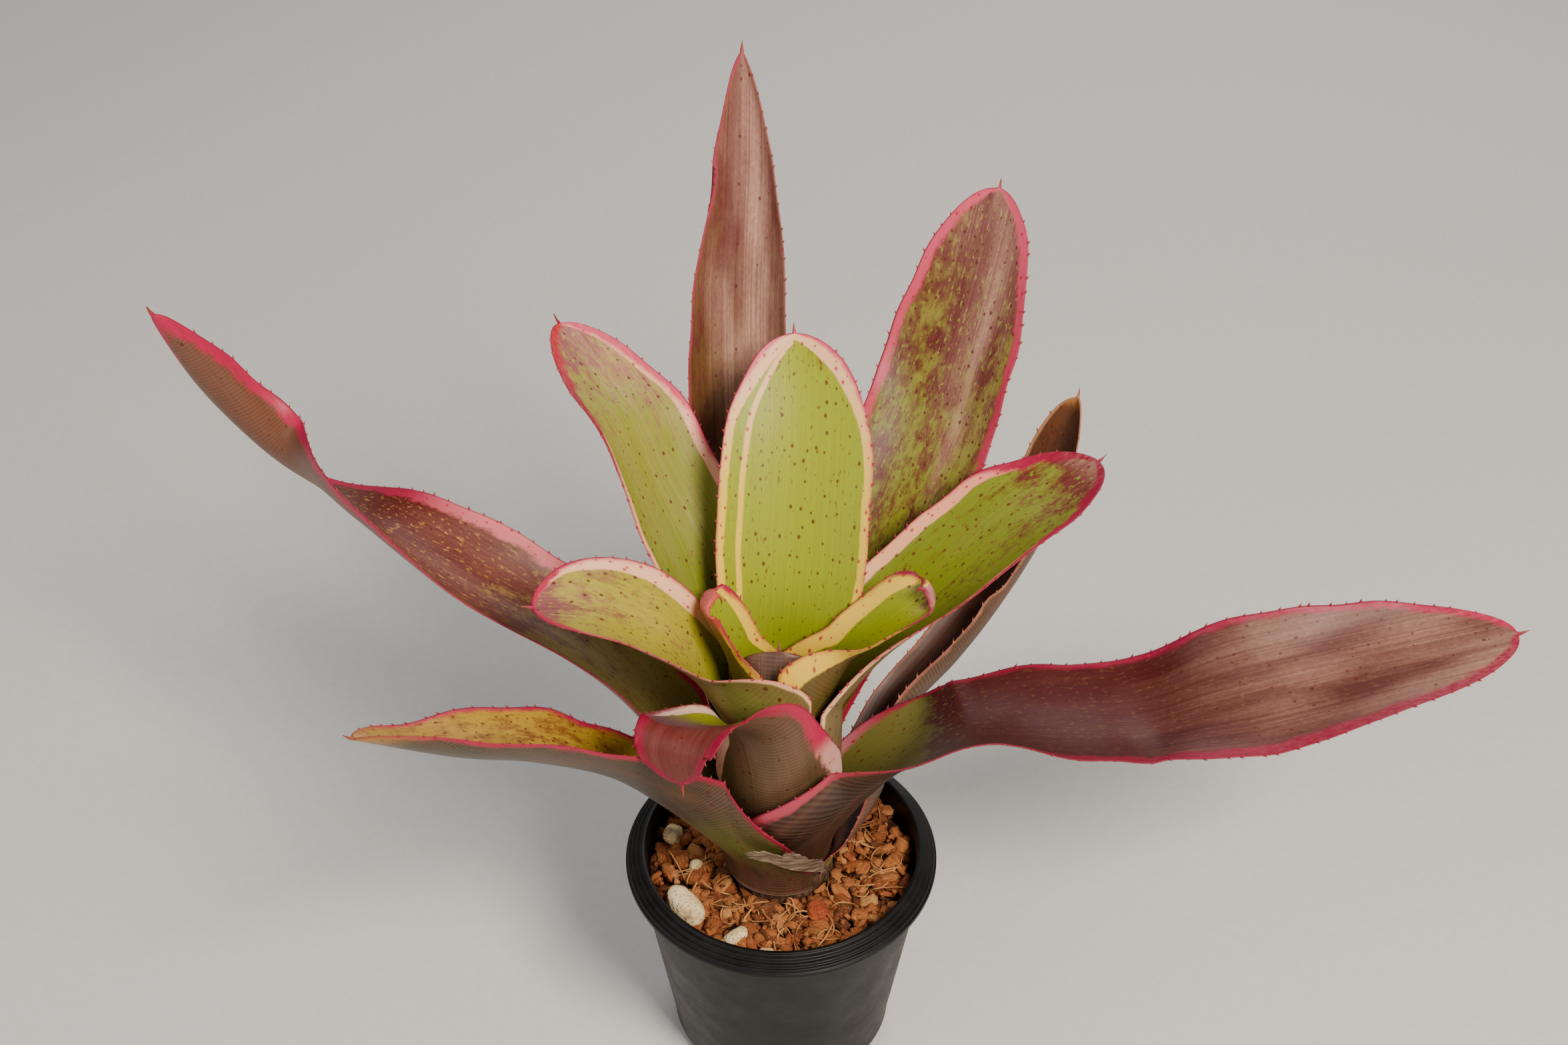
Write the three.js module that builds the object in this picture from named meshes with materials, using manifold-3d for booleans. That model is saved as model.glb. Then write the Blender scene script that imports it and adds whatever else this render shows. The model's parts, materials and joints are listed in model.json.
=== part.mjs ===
// A neoregelia bromeliad in a round nursery pot, in millimetres, +Z up.
// The origin is the centre of the pot's foot, on the surface that the pot stands on.
// The plant is a rosette: every leaf has a sheath that wraps the short stem, and a blade that leans out.
// Azimuths are in degrees from +X, counterclockwise seen from above; -Y is the front.
import * as THREE from "three";
import { mergeVertices } from "three/addons/utils/BufferGeometryUtils.js";
import Module from "manifold-3d";

const manifold = await Module();
manifold.setup();
const { Manifold, Mesh } = manifold;

// ---- driving dimensions ----
const POT_HEIGHT = 80;
const RIM_RADIUS = 50;
const MOUTH_RADIUS = 43.7;
const FOOT_RADIUS = 33;
const POT_FLOOR = 2;
const DRAIN_HOLES = 6;
const DRAIN_RADIUS = 3.5;
const DRAIN_CIRCLE = 25; // radius of the circle that the drain holes lie on
const WALL_TOP = 72; // the inner wall is straight up to here
const BED_HEIGHT = 70; // of the husk bed, without the chips that stand out of it
const CHIPS = 44;
const CLEARANCE = 0.3; // between two pieces that touch

const STEM_RADIUS = 17;
const STEM_ROOT = 62; // how deep the stem reaches into the bed
const SOCKET_DEPTH = 20;
const STEM_GAP = 1.3; // from the stem's surface to the middle of a sheath's foot
const LEAF_THICKNESS = 0.7;
const SHEATH_PITCH = 1.25; // from one sheath to the next one out
const TANK_FOOT_RADIUS = 1.8; // of the innermost sheath at its foot, and where it has opened into the tank
const TANK_RADIUS = 12;
const TANK_FROM = 78; // the heights between which it opens
const TANK_TO = 123;
const TUBE_TOP = 150; // the sheaths are all closed up to here
const LIFT_FADE = 1.8; // a lifted margin has come down once the blade has run so many times its opens
const TUBE_MOUTH = 14; // over this much height the blades come free of the sheaths within
const SHEATH_START = 104; // height at which the innermost sheath leaves the stem
const SHEATH_START_STEP = 2.2; // each sheath further out starts this much lower
const SHEATH_ROW = 8; // the sheaths' rows lie at common heights, so nested ones stay clear
const BLADE_ROW = 12;
const ARC_STEPS = 400; // in which a midrib's length is measured
const TOOTH_LENGTH = 1.2;
const TOOTH_BASE = 1.8;
const TOOTH_LEAN = 0.5; // of its point toward the leaf's tip
const TIP_SPINE = 4;

const DEG = Math.PI / 180;
const mix = (a, b, t) => a + (b - a) * t;
const clamp01 = (t) => Math.min(1, Math.max(0, t));
const smooth = (t) => clamp01(t) ** 2 * (3 - 2 * clamp01(t));

// Seeded random numbers from 0 to 1.
function randomFrom(seed) {
  let state = seed;
  return () => {
    state = (state * 1664525 + 1013904223) % 4294967296;
    return state / 4294967296;
  };
}

// The value at s of a list of [s, value] keys, eased from key to key.
function eased(keys, s) {
  if (s <= keys[0][0]) return keys[0][1];
  for (let i = 1; i < keys.length; i++) {
    const [s0, v0] = keys[i - 1];
    const [s1, v1] = keys[i];
    if (s <= s1) return mix(v0, v1, smooth((s - s0) / (s1 - s0)));
  }
  return keys[keys.length - 1][1];
}

const material = (color, roughness) => new THREE.MeshStandardMaterial({ color, roughness, metalness: 0 });

// ---- booleans ----
function solidOf(geometry) {
  const bare = new THREE.BufferGeometry();
  bare.setAttribute("position", geometry.getAttribute("position"));
  if (geometry.index) bare.setIndex(geometry.index);
  const merged = mergeVertices(bare, 1e-4);
  return new Manifold(
    new Mesh({
      numProp: 3,
      vertProperties: merged.attributes.position.array,
      triVerts: new Uint32Array(merged.index.array),
    }),
  );
}

function geometryOf(solid) {
  const { numProp, vertProperties, triVerts } = solid.getMesh();
  const geometry = new THREE.BufferGeometry();
  const positions = new Float32Array((vertProperties.length / numProp) * 3);
  for (let i = 0; i < positions.length / 3; i++)
    positions.set(vertProperties.subarray(i * numProp, i * numProp + 3), i * 3);
  geometry.setAttribute("position", new THREE.BufferAttribute(positions, 3));
  geometry.setIndex(new THREE.BufferAttribute(triVerts, 1));
  return geometry;
}

// A solid of revolution about +Z from [radius, height] points, listed up the outside and down the inside.
function turned(points, segments) {
  const profile = points.map(([radius, height]) => new THREE.Vector2(radius, height));
  return new THREE.LatheGeometry([...profile, profile[0]], segments).rotateX(Math.PI / 2);
}

// ---- pot ----
// The inner wall's radius at a height.
const wallRadius = (z) => mix(FOOT_RADIUS + 1, MOUTH_RADIUS - 0.5, (z - POT_FLOOR) / (WALL_TOP - POT_FLOOR));

function potGeometry() {
  const body = turned(
    [
      [0, 0],
      [FOOT_RADIUS, 0],
      [FOOT_RADIUS + 2.4, 2],
      [FOOT_RADIUS + 3.6, 7],
      [46.2, 73],
      [47.5, 74.2],
      [RIM_RADIUS - 0.6, 73.8],
      [RIM_RADIUS, 74.2],
      [RIM_RADIUS, 75.7],
      [RIM_RADIUS - 0.7, 76],
      [RIM_RADIUS - 0.9, 76.9],
      [RIM_RADIUS - 1.7, 77.1],
      [RIM_RADIUS - 2.0, 77.9],
      [RIM_RADIUS - 3.4, 78.4],
      [RIM_RADIUS - 3.7, 79.1],
      [MOUTH_RADIUS + 1.2, POT_HEIGHT - 0.2],
      [MOUTH_RADIUS + 0.4, POT_HEIGHT],
      [MOUTH_RADIUS, POT_HEIGHT - 0.5],
      [MOUTH_RADIUS - 0.5, WALL_TOP],
      [wallRadius(POT_FLOOR), POT_FLOOR],
      [0, POT_FLOOR],
    ],
    40,
  );
  const hole = new THREE.CylinderGeometry(DRAIN_RADIUS, DRAIN_RADIUS, 3 * POT_FLOOR, 12).rotateX(Math.PI / 2);
  const holes = Array.from({ length: DRAIN_HOLES }, (_, i) =>
    solidOf(hole)
      .translate([DRAIN_CIRCLE, 0, POT_FLOOR / 2])
      .rotate([0, 0, (360 / DRAIN_HOLES) * (i + 0.5)]),
  );
  return geometryOf(solidOf(body).subtract(Manifold.union(holes)));
}

// ---- stones: position, half sizes and turn of each ----
const STONES = [
  { name: "stone_large", at: [-30.6, -20.5, 73], half: [7.5, 4.2, 4.6], turn: -48, color: 0xd8c9a8 },
  { name: "stone_left", at: [-35.5, 10.5, 72], half: [3.6, 2.8, 3.2], turn: 70, color: 0xcbbf94 },
  { name: "stone_small", at: [-27.5, -3, 71.6], half: [2.2, 1.5, 1.8], turn: 60, color: 0xc8bda0 },
  { name: "stone_front", at: [-14, -32, 71.6], half: [3.6, 1.9, 2.2], turn: 30, color: 0xe0c78c },
  { name: "stone_rim", at: [-4.5, -37.5, 71], half: [2.4, 1.6, 1.6], turn: 10, color: 0xd8ccb0 },
  { name: "chunk_red", at: [11.5, -22, 73], half: [3.4, 2.8, 3], turn: 20, color: 0x8a3c1c },
];

function stoneGeometry(stone, grown = 0) {
  const random = randomFrom(Math.round(stone.half[0] * 1000));
  const sphere = new THREE.IcosahedronGeometry(1, 1).deleteAttribute("normal").deleteAttribute("uv");
  const ball = mergeVertices(sphere, 1e-3);
  const points = ball.attributes.position;
  for (let i = 0; i < points.count; i++) {
    const bump = 1 + 0.16 * (random() - 0.5);
    const p = new THREE.Vector3().fromBufferAttribute(points, i).multiplyScalar(bump);
    points.setXYZ(i, ...p.toArray().map((x, axis) => x * (stone.half[axis] + grown)));
  }
  return ball.rotateZ(stone.turn * DEG).translate(...stone.at);
}

// ---- husk bed ----
function bedGeometry() {
  const random = randomFrom(11);
  const between = (low, high) => mix(low, high, random());
  const wall = (z) => wallRadius(z) - CLEARANCE;
  const bottom = POT_FLOOR + CLEARANCE;
  const bed = solidOf(
    turned([[0, bottom], [wall(bottom), bottom], [wall(BED_HEIGHT), BED_HEIGHT], [0, BED_HEIGHT]], 40),
  );
  const chips = Array.from({ length: CHIPS }, (_, i) => {
    const size = [between(5, 9), between(3, 5), between(1.6, 2.6)];
    const around = (i * 137.5 + between(-20, 20)) * DEG;
    const out = mix(24, MOUTH_RADIUS - 5.5, Math.sqrt(random()));
    const chip = new THREE.BoxGeometry(...size);
    chip.rotateX(between(-0.5, 0.5)).rotateY(between(-0.45, 0.45)).rotateZ(between(0, Math.PI));
    chip.translate(out * Math.cos(around), out * Math.sin(around), BED_HEIGHT + between(0, 1.3));
    return solidOf(chip);
  });
  const socket = new THREE.CylinderGeometry(STEM_RADIUS + 3, STEM_RADIUS + CLEARANCE, SOCKET_DEPTH, 32);
  socket.rotateX(Math.PI / 2).translate(0, 0, STEM_ROOT - CLEARANCE + SOCKET_DEPTH / 2);
  const beds = Manifold.union([bed, ...chips])
    .subtract(solidOf(socket))
    .subtract(Manifold.union(STONES.map((stone) => solidOf(stoneGeometry(stone, 0.5)))));
  return geometryOf(beds.decompose().sort((a, b) => b.volume() - a.volume())[0]);
}

// ---- sheaths: they lie one round the other, from a narrow foot on the stem to the swollen tank ----
const tankRadius = (z) => mix(TANK_FOOT_RADIUS, TANK_RADIUS, smooth((z - TANK_FROM) / (TANK_TO - TANK_FROM)));
const sheathRadius = (layer, z) => tankRadius(z) + SHEATH_PITCH * layer;
const sheathStart = (layer) => SHEATH_START - SHEATH_START_STEP * layer;

function stemGeometry(layers) {
  const profile = [[0, STEM_ROOT], [STEM_RADIUS - 3, STEM_ROOT], [STEM_RADIUS, STEM_ROOT + 4]];
  for (let layer = layers - 1; layer >= 0; layer -= 2)
    profile.push([sheathRadius(layer, sheathStart(layer)) - STEM_GAP, sheathStart(layer)]);
  return turned([...profile, [0, SHEATH_START - 1]], 28);
}

// ---- leaves, from the innermost out ----
// azimuth: the way the blade leans. neck: the height where it leaves the tube. opens: how far the blade runs
// before it is flat.
// midrib: points [reach, height, side] of the blade, the last one its tip.
// lift: [v, height], how far one margin stands above the midrib at the neck.
// wrap: half the angle of the sheath, at its foot and at the neck. skew: how far it is turned round the tube.
// width: the blade's widest, and its share at the neck. taper: [where it starts to narrow, power, root].
// cup: half the angle of the blade's channel, as [s, degrees].
// roll: how far the blade is turned round its own midrib, as [s, degrees].
// s runs from 0 at the neck to 1 at the tip.
const LEAVES = [
  { name: "leaf_heart", azimuth: 265, skew: 0, neck: 148, opens: 8, color: 0x6a5a58,
    midrib: [[11, 159], [6, 168]],
    wrap: [110, 110], width: [40, 1], taper: [0.1, 2.5, 0.5],
    cup: [[0, 105], [0.6, 90], [1, 20]],
    roll: [[0, 0]] },
  { name: "leaf_inner_left", azimuth: 163, skew: 0, neck: 142, opens: 16, lift: [1, 16], color: 0x9aa344,
    midrib: [[17, 160], [22, 171], [27, 179], [29, 180]],
    wrap: [95, 95], width: [26, 0.95], taper: [0.6, 2, 0.5],
    cup: [[0, 75], [1, 60]],
    roll: [[0, 0], [1, 15]] },
  { name: "leaf_inner_right", azimuth: 6, skew: 0, neck: 142, opens: 18, lift: [-1, 24], color: 0xa3a84e,
    midrib: [[21, 159], [31, 170], [41, 178], [47, 181], [48, 179]],
    wrap: [100, 100], width: [28, 1], taper: [0.6, 2, 0.5],
    cup: [[0, 75], [0.5, 48], [1, 45]],
    roll: [[0, 0], [0.5, -5], [1, 10]] },
  { name: "leaf_centre", azimuth: 90, skew: 0, neck: 140, opens: 26, color: 0x96a83a,
    midrib: [[21, 164, -2], [35, 190, -4], [52, 214, -5], [68, 230, -4]],
    wrap: [85, 80], width: [48, 0.85], taper: [0.55, 2, 0.5],
    cup: [[0, 60], [0.3, 35], [1, 20]],
    roll: [[0, 0]] },
  { name: "leaf_left_short", azimuth: 190, skew: 21, neck: 136, opens: 24, lift: [1, 20], color: 0x98a040,
    midrib: [[32, 169], [43, 180], [51, 186], [60, 189.5], [71, 191]],
    wrap: [90, 91], width: [40, 1], taper: [0.6, 2, 0.5],
    cup: [[0, 80], [0.4, 55], [1, 30]],
    roll: [[0, 0], [0.5, -8], [1, -2]] },
  { name: "leaf_right_mid", azimuth: 30, skew: -10, neck: 142, opens: 30, lift: [-1, 8], color: 0x8c9a40,
    midrib: [[39, 156.5], [52, 163.5], [66, 172], [81, 180], [95, 184], [113, 190.5]],
    wrap: [88, 70], width: [43, 0.92], taper: [0.6, 2, 0.5],
    cup: [[0, 51], [0.4, 40], [1, 20]],
    roll: [[0, -4]] },
  { name: "leaf_upper_left", azimuth: 130, skew: 6, neck: 130, opens: 30, color: 0x7f9040,
    midrib: [[40, 175], [51, 187], [60, 196], [69, 208], [84, 215], [106, 225]],
    wrap: [85, 64], width: [41, 0.95], taper: [0.6, 2, 0.5],
    cup: [[0, 60], [0.4, 38], [1, 20]],
    roll: [[0, 0], [0.4, 2], [0.6, 15], [1, 15]] },
  { name: "leaf_front_folded", azimuth: 250, skew: 14, neck: 118, opens: 34, lift: [1, 10], color: 0x6f6040,
    midrib: [[24, 150, 1], [37, 163, -10], [46, 168, -12], [50.5, 165, -13], [53.5, 155.5, -10]],
    wrap: [80, 68], width: [32.5, 0.85], taper: [0.65, 2, 0.5],
    cup: [[0, 60], [0.5, 42], [0.72, 14], [1, 10]],
    roll: [[0, 0], [0.5, 7], [1, 13]] },
  { name: "leaf_upper_right", azimuth: 60, skew: 12, neck: 118, opens: 40, color: 0x77743c,
    midrib: [[50, 142], [83, 173], [101, 189], [115, 208], [126, 228], [137, 251]],
    wrap: [80, 40], width: [46, 0.75], taper: [0.65, 2, 0.5],
    cup: [[0, 60], [0.4, 38], [1, 20]],
    roll: [[0, 0], [0.5, 10], [0.7, 0]] },
  { name: "leaf_back_tall", azimuth: 95, skew: 5, neck: 104, opens: 40, color: 0x5a4238,
    midrib: [[46, 132, 6], [69, 179, 7], [92, 225, 6], [109, 262, 3], [124, 295, 1]],
    wrap: [80, 50], width: [38, 0.9], taper: [0.45, 2, 0.7],
    cup: [[0, 60]],
    roll: [[0, 0]] },
  { name: "leaf_left_long", azimuth: 157, skew: 22, neck: 92, opens: 40, color: 0x7a4a38,
    midrib: [[44, 123], [64, 138, -1], [92.5, 153, 1], [132, 171, 4.5], [182, 176, -11], [206, 230.5, 3.5]],
    wrap: [85, 62], width: [43, 0.9], taper: [0.45, 1.6, 0.6],
    cup: [[0, 60], [0.2, 48], [0.45, 50], [0.62, 60], [1, 70]],
    roll: [[0, 0], [0.2, 13], [0.4, 4], [0.96, 112]] },
  { name: "leaf_right_long", azimuth: 5, skew: -37, neck: 97, opens: 35, color: 0x5c2a2a,
    midrib: [[32.5, 111, -2.5], [53.5, 127, -3], [64, 128, -2], [96, 124.5], [114, 122.5, 1.5],
      [137.5, 131.5], [226.5, 152]],
    wrap: [85, 89], width: [49, 1.35], taper: [0.6, 2, 0.5],
    cup: [[0, 74], [0.2, 24], [0.35, 26], [0.8, 30], [1, 5]],
    roll: [[0.05, -35], [0.2, -24], [0.37, -6], [0.5, 0], [0.65, 23], [0.85, 14], [1, 7]] },
  { name: "leaf_right_back", azimuth: 44, skew: -11, neck: 82, opens: 50, color: 0x4f3a2a,
    midrib: [[35.5, 86.5, -5.5], [56.5, 101.5, -1], [79, 109], [103, 122, 1], [119, 155, -2.5],
      [134.5, 188, 1]],
    wrap: [75, 71], width: [30, 1.07], taper: [0.7, 2, 0.5],
    cup: [[0, 80], [0.5, 82], [1, 60]],
    roll: [[0, -50], [0.5, -33], [1, -4]] },
  { name: "leaf_left_low", azimuth: 208, skew: 15, neck: 84, opens: 50, color: 0x76693a,
    midrib: [[31, 104], [58, 139.5], [82.5, 158], [102.5, 168.5], [128, 186.5]],
    wrap: [80, 77], width: [48, 1.3], taper: [0.65, 1.8, 0.6],
    cup: [[0, 80], [0.25, 75], [0.45, 53], [1, 31]],
    roll: [[0, 25], [0.5, 20], [1, 34]] },
];
LEAVES.forEach((leaf, layer) => Object.assign(leaf, { layer }));

// A leaf's centre line and frame: s is -1 at the sheath's foot, 0 at the neck and 1 at the tip.
function leafFrame(leaf) {
  const start = sheathStart(leaf.layer);
  const turn = leaf.azimuth * DEG;
  const out = new THREE.Vector3(Math.cos(turn), Math.sin(turn), 0);
  const across = new THREE.Vector3(-Math.sin(turn), Math.cos(turn), 0);
  const place = (reach, height, side = 0) =>
    out.clone().multiplyScalar(reach).addScaledVector(across, side).setZ(height);
  const onTube = (z) => place(sheathRadius(leaf.layer, z), z);
  const blade = new THREE.CatmullRomCurve3(
    [onTube(leaf.neck - 6), onTube(leaf.neck), ...leaf.midrib.map((p) => place(...p))],
    false,
    "centripetal",
  );
  blade.arcLengthDivisions = ARC_STEPS;
  const lengths = blade.getLengths();
  const total = lengths[lengths.length - 1];
  const neckAt = lengths[Math.round(ARC_STEPS / (leaf.midrib.length + 1))];
  const bladeLength = total - neckAt;

  // The sheath's section lies level; the blade's turns square to the blade as it opens.
  const at = (s) => {
    const opened = smooth((s * bladeLength) / leaf.opens);
    const t = clamp01((neckAt + Math.max(s, 0) * bladeLength) / total);
    const point = s < 0 ? onTube(mix(leaf.neck, start, -s)) : blade.getPointAt(t);
    const along = blade.getTangentAt(t);
    const side = across.clone().addScaledVector(along, -across.dot(along) * opened).normalize();
    const inward = out.clone().negate().lerp(along.clone().cross(side), opened).normalize();
    const roll = eased(leaf.roll, s) * DEG * opened;
    return {
      point,
      along,
      side: side.clone().multiplyScalar(Math.cos(roll)).addScaledVector(inward, Math.sin(roll)),
      inward: inward.multiplyScalar(Math.cos(roll)).addScaledVector(side, -Math.sin(roll)),
    };
  };
  return { at, start, bladeLength };
}

// The leaf's section at s: half its width along the curve, half its angle, and the sheath's turn.
function leafSection(leaf, s, { start, bladeLength }) {
  const [footWrap, neckWrap] = leaf.wrap;
  const z = s < 0 ? mix(leaf.neck, start, -s) : leaf.neck;
  const wrap = mix(neckWrap, footWrap, clamp01(-s)) * DEG;
  const sheathHalf = sheathRadius(leaf.layer, z) * wrap;
  const [width, neckShare] = leaf.width;
  const [from, power, root] = leaf.taper;
  const narrowed = clamp01((s - from) / (1 - from)) ** power;
  const bladeHalf = (width / 2) * mix(neckShare, 1, smooth(s / 0.4)) * (1 - narrowed) ** root;
  const opened = smooth((s * bladeLength) / leaf.opens);
  return {
    half: Math.max(mix(sheathHalf, bladeHalf, opened), 0.5),
    angle: mix(wrap, eased(leaf.cup, s) * DEG, opened),
    skew: mix(leaf.skew * DEG, 0, opened),
  };
}

// The surface halfway through the leaf: an arc across the midrib, at v from -1 to 1.
// A lifted margin of the sheath stands higher than the midrib at the tube's mouth, and comes down as the
// blade opens. Beside the tube the leaf stays outside the sheaths that lie within it.
function leafPoint(leaf, frame, s, v) {
  const { point, side, inward } = frame.at(s);
  const { half, angle, skew } = leafSection(leaf, s, frame);
  const radius = half / angle;
  const turn = angle * v + skew;
  const p = point
    .clone()
    .addScaledVector(side, radius * Math.sin(turn))
    .addScaledVector(inward, radius * (1 - Math.cos(turn)));
  const [lifted, lift] = leaf.lift ?? [1, 0];
  const held = smooth(s + 1) * (1 - smooth((s * frame.bladeLength) / (LIFT_FADE * leaf.opens)));
  p.z += lift * held * Math.max(v * lifted, 0) ** 1.5;
  const clear = sheathRadius(leaf.layer, p.z) * smooth((TUBE_TOP + TUBE_MOUTH - p.z) / TUBE_MOUTH);
  const reach = Math.hypot(p.x, p.y);
  return reach < clear ? p.multiply(new THREE.Vector3(clear / reach, clear / reach, 1)) : p;
}

function leafNormal(leaf, frame, s, v) {
  const step = 1e-3;
  const s0 = Math.min(s, 1 - 2 * step);
  const v0 = Math.max(-0.98, Math.min(0.98, v));
  const along = leafPoint(leaf, frame, s0 + step, v0).sub(leafPoint(leaf, frame, s0 - step, v0));
  const across = leafPoint(leaf, frame, s0, v0 + 0.02).sub(leafPoint(leaf, frame, s0, v0 - 0.02));
  return along.cross(across).normalize();
}

// The rows of a leaf's mesh, from its foot to its tip.
function leafRows(leaf, frame) {
  const rows = [{ s: -1, columns: 8 }];
  const depth = leaf.neck - frame.start;
  for (let z = SHEATH_ROW * Math.ceil((frame.start + 2) / SHEATH_ROW); z < leaf.neck - 2; z += SHEATH_ROW)
    rows.push({ s: (z - leaf.neck) / depth, columns: 8 });
  const count = Math.max(5, Math.round(frame.bladeLength / BLADE_ROW));
  for (let i = 0; i <= count; i++) {
    const x = i / count;
    const s = x < 0.8 ? x * 1.06 : mix(0.848, 1, Math.sin(((x - 0.8) / 0.2) * (Math.PI / 2)));
    const columns = s * frame.bladeLength < 0.6 * leaf.opens ? 8 : s < 0.93 ? 6 : 4;
    rows.push({ s, columns, toothed: i > 1 });
  }
  return rows;
}

// One leaf as a closed solid: the same triangles on both faces, a tooth on each margin between two rows,
// and a spine at the tip.
function leafGeometry(leaf) {
  const frame = leafFrame(leaf);
  const vertices = [];
  const faces = [];
  const add = (p) => vertices.push(p) - 1;
  // Both faces of a point of the leaf, as vertex numbers: [the face that the normal leaves, the other one].
  const skin = (s, v) => {
    const middle = leafPoint(leaf, frame, s, v);
    const normal = leafNormal(leaf, frame, s, v).multiplyScalar(LEAF_THICKNESS / 2);
    return { v, pair: [add(middle.clone().add(normal)), add(middle.clone().sub(normal))] };
  };
  const both = (a, b, c) => faces.push([a.pair[0], b.pair[0], c.pair[0]], [a.pair[1], c.pair[1], b.pair[1]]);
  const wall = (a, b) =>
    faces.push([a.pair[0], a.pair[1], b.pair[1]], [a.pair[0], b.pair[1], b.pair[0]]);

  const rows = leafRows(leaf, frame).map((row) => ({
    ...row,
    points: Array.from({ length: row.columns + 1 }, (_, j) => skin(row.s, (2 * j) / row.columns - 1)),
  }));

  // The band between two rows' inner points.
  const band = (below, above) => {
    let a = 0;
    let b = 0;
    while (a < below.length - 1 || b < above.length - 1) {
      const nextBelow = a < below.length - 1 ? below[a + 1].v : 9;
      const nextAbove = b < above.length - 1 ? above[b + 1].v : 9;
      if (nextBelow <= nextAbove) both(below[a], above[b], below[++a]);
      else both(below[a], above[b], above[++b]);
    }
  };

  // The cell beside a margin, with a tooth where the row has one; end is -1 or 1.
  const marginCell = (end, below, above, toothed) => {
    const pick = (row, k) => (end < 0 ? row.points[k] : row.points[row.points.length - 1 - k]);
    const [low, lowIn, high, highIn] = [pick(below, 0), pick(below, 1), pick(above, 0), pick(above, 1)];
    const turnedBoth = (a, b, c) => (end > 0 ? both(a, b, c) : both(a, c, b));
    const turnedWall = (a, b) => (end < 0 ? wall(a, b) : wall(b, a));
    const turnedFace = (a, b, c) => faces.push(end > 0 ? [a, b, c] : [a, c, b]);
    if (!toothed) {
      turnedBoth(lowIn, high, low);
      turnedBoth(lowIn, highIn, high);
      turnedWall(low, high);
      return;
    }
    const middle = (below.s + above.s) / 2;
    const reach = TOOTH_BASE / 2 / frame.bladeLength;
    const from = skin(middle - reach, end);
    const to = skin(middle + reach, end);
    const root = leafPoint(leaf, frame, middle, end);
    const outward = root.clone().sub(leafPoint(leaf, frame, middle, end * 0.9)).normalize();
    const lean = frame.at(middle).along.multiplyScalar(TOOTH_LEAN);
    const apex = add(root.addScaledVector(outward, TOOTH_LENGTH).add(lean));
    turnedBoth(lowIn, from, low);
    turnedBoth(lowIn, to, from);
    turnedBoth(lowIn, highIn, to);
    turnedBoth(highIn, high, to);
    turnedWall(low, from);
    turnedWall(to, high);
    turnedFace(from.pair[0], to.pair[0], apex);
    turnedFace(from.pair[1], apex, to.pair[1]);
    turnedFace(from.pair[1], from.pair[0], apex);
    turnedFace(to.pair[0], to.pair[1], apex);
  };

  const foot = rows[0].points;
  for (let j = 1; j < foot.length; j++) wall(foot[j], foot[j - 1]);
  for (let i = 1; i < rows.length; i++) {
    band(rows[i - 1].points.slice(1, -1), rows[i].points.slice(1, -1));
    for (const end of [-1, 1]) marginCell(end, rows[i - 1], rows[i], rows[i].toothed);
  }
  const last = rows[rows.length - 1].points;
  const tip = frame.at(1);
  const spine = add(tip.point.clone().addScaledVector(tip.along, TIP_SPINE));
  for (let j = 1; j < last.length; j++) {
    faces.push([last[j - 1].pair[0], spine, last[j].pair[0]]);
    faces.push([last[j - 1].pair[1], last[j].pair[1], spine]);
  }
  faces.push([last[0].pair[0], last[0].pair[1], spine]);
  faces.push([last[last.length - 1].pair[1], last[last.length - 1].pair[0], spine]);

  const geometry = new THREE.BufferGeometry();
  geometry.setAttribute(
    "position",
    new THREE.Float32BufferAttribute(vertices.flatMap((p) => p.toArray()), 3),
  );
  geometry.setIndex(faces.flat());
  return geometry;
}

// A thin closed sheet over u and v from 0 to 1: the outer face, the inner one and the edge round both.
function sheetGeometry(pointAt, rows, columns) {
  const points = [];
  for (const offset of [LEAF_THICKNESS / 2, -LEAF_THICKNESS / 2])
    for (let j = 0; j <= rows; j++)
      for (let i = 0; i <= columns; i++) points.push(pointAt(i / columns, j / rows, offset));
  const at = (i, j, inner = 0) => (inner * (rows + 1) + j) * (columns + 1) + i;
  const faces = [];
  for (let j = 0; j < rows; j++)
    for (let i = 0; i < columns; i++) {
      const [a, b, c, d] = [at(i, j), at(i + 1, j), at(i + 1, j + 1), at(i, j + 1)];
      const inner = at(0, 0, 1);
      faces.push([a, b, c], [a, c, d], [a + inner, c + inner, b + inner], [a + inner, d + inner, c + inner]);
    }
  const edge = [];
  for (let i = 0; i < columns; i++) edge.push([i, 0]);
  for (let j = 0; j < rows; j++) edge.push([columns, j]);
  for (let i = columns; i > 0; i--) edge.push([i, rows]);
  for (let j = rows; j > 0; j--) edge.push([0, j]);
  edge.forEach(([i, j], k) => {
    const [i2, j2] = edge[(k + 1) % edge.length];
    faces.push([at(i, j), at(i, j, 1), at(i2, j2)], [at(i2, j2), at(i, j, 1), at(i2, j2, 1)]);
  });
  const geometry = new THREE.BufferGeometry();
  geometry.setAttribute("position", new THREE.Float32BufferAttribute(points.flatMap((p) => p.toArray()), 3));
  geometry.setIndex(faces.flat());
  return geometry;
}

// ---- dry scale: the papery remains of an old sheath, bent round the front of the tube ----
function scaleGeometry() {
  const [rows, columns] = [4, 10];
  const layer = LEAVES.length;
  const pointAt = (u, v, offset) => {
    const turn = mix(238, 306, u) * DEG;
    const foot = mix(96, 82.5, u) - 1.2 * Math.sin(5 * u);
    const height = 8 * (1 + 0.12 * Math.sin(17 * u)) * Math.sin(Math.PI * mix(0.12, 0.93, u));
    const z = foot + height * v;
    const flare = 1.2 * v * v + 2.5 * clamp01(1 - 5 * u);
    const reach = sheathRadius(layer, z) + LEAF_THICKNESS / 2 + flare + offset;
    return new THREE.Vector3(reach * Math.cos(turn), reach * Math.sin(turn), z);
  };
  return sheetGeometry(pointAt, rows, columns);
}

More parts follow.
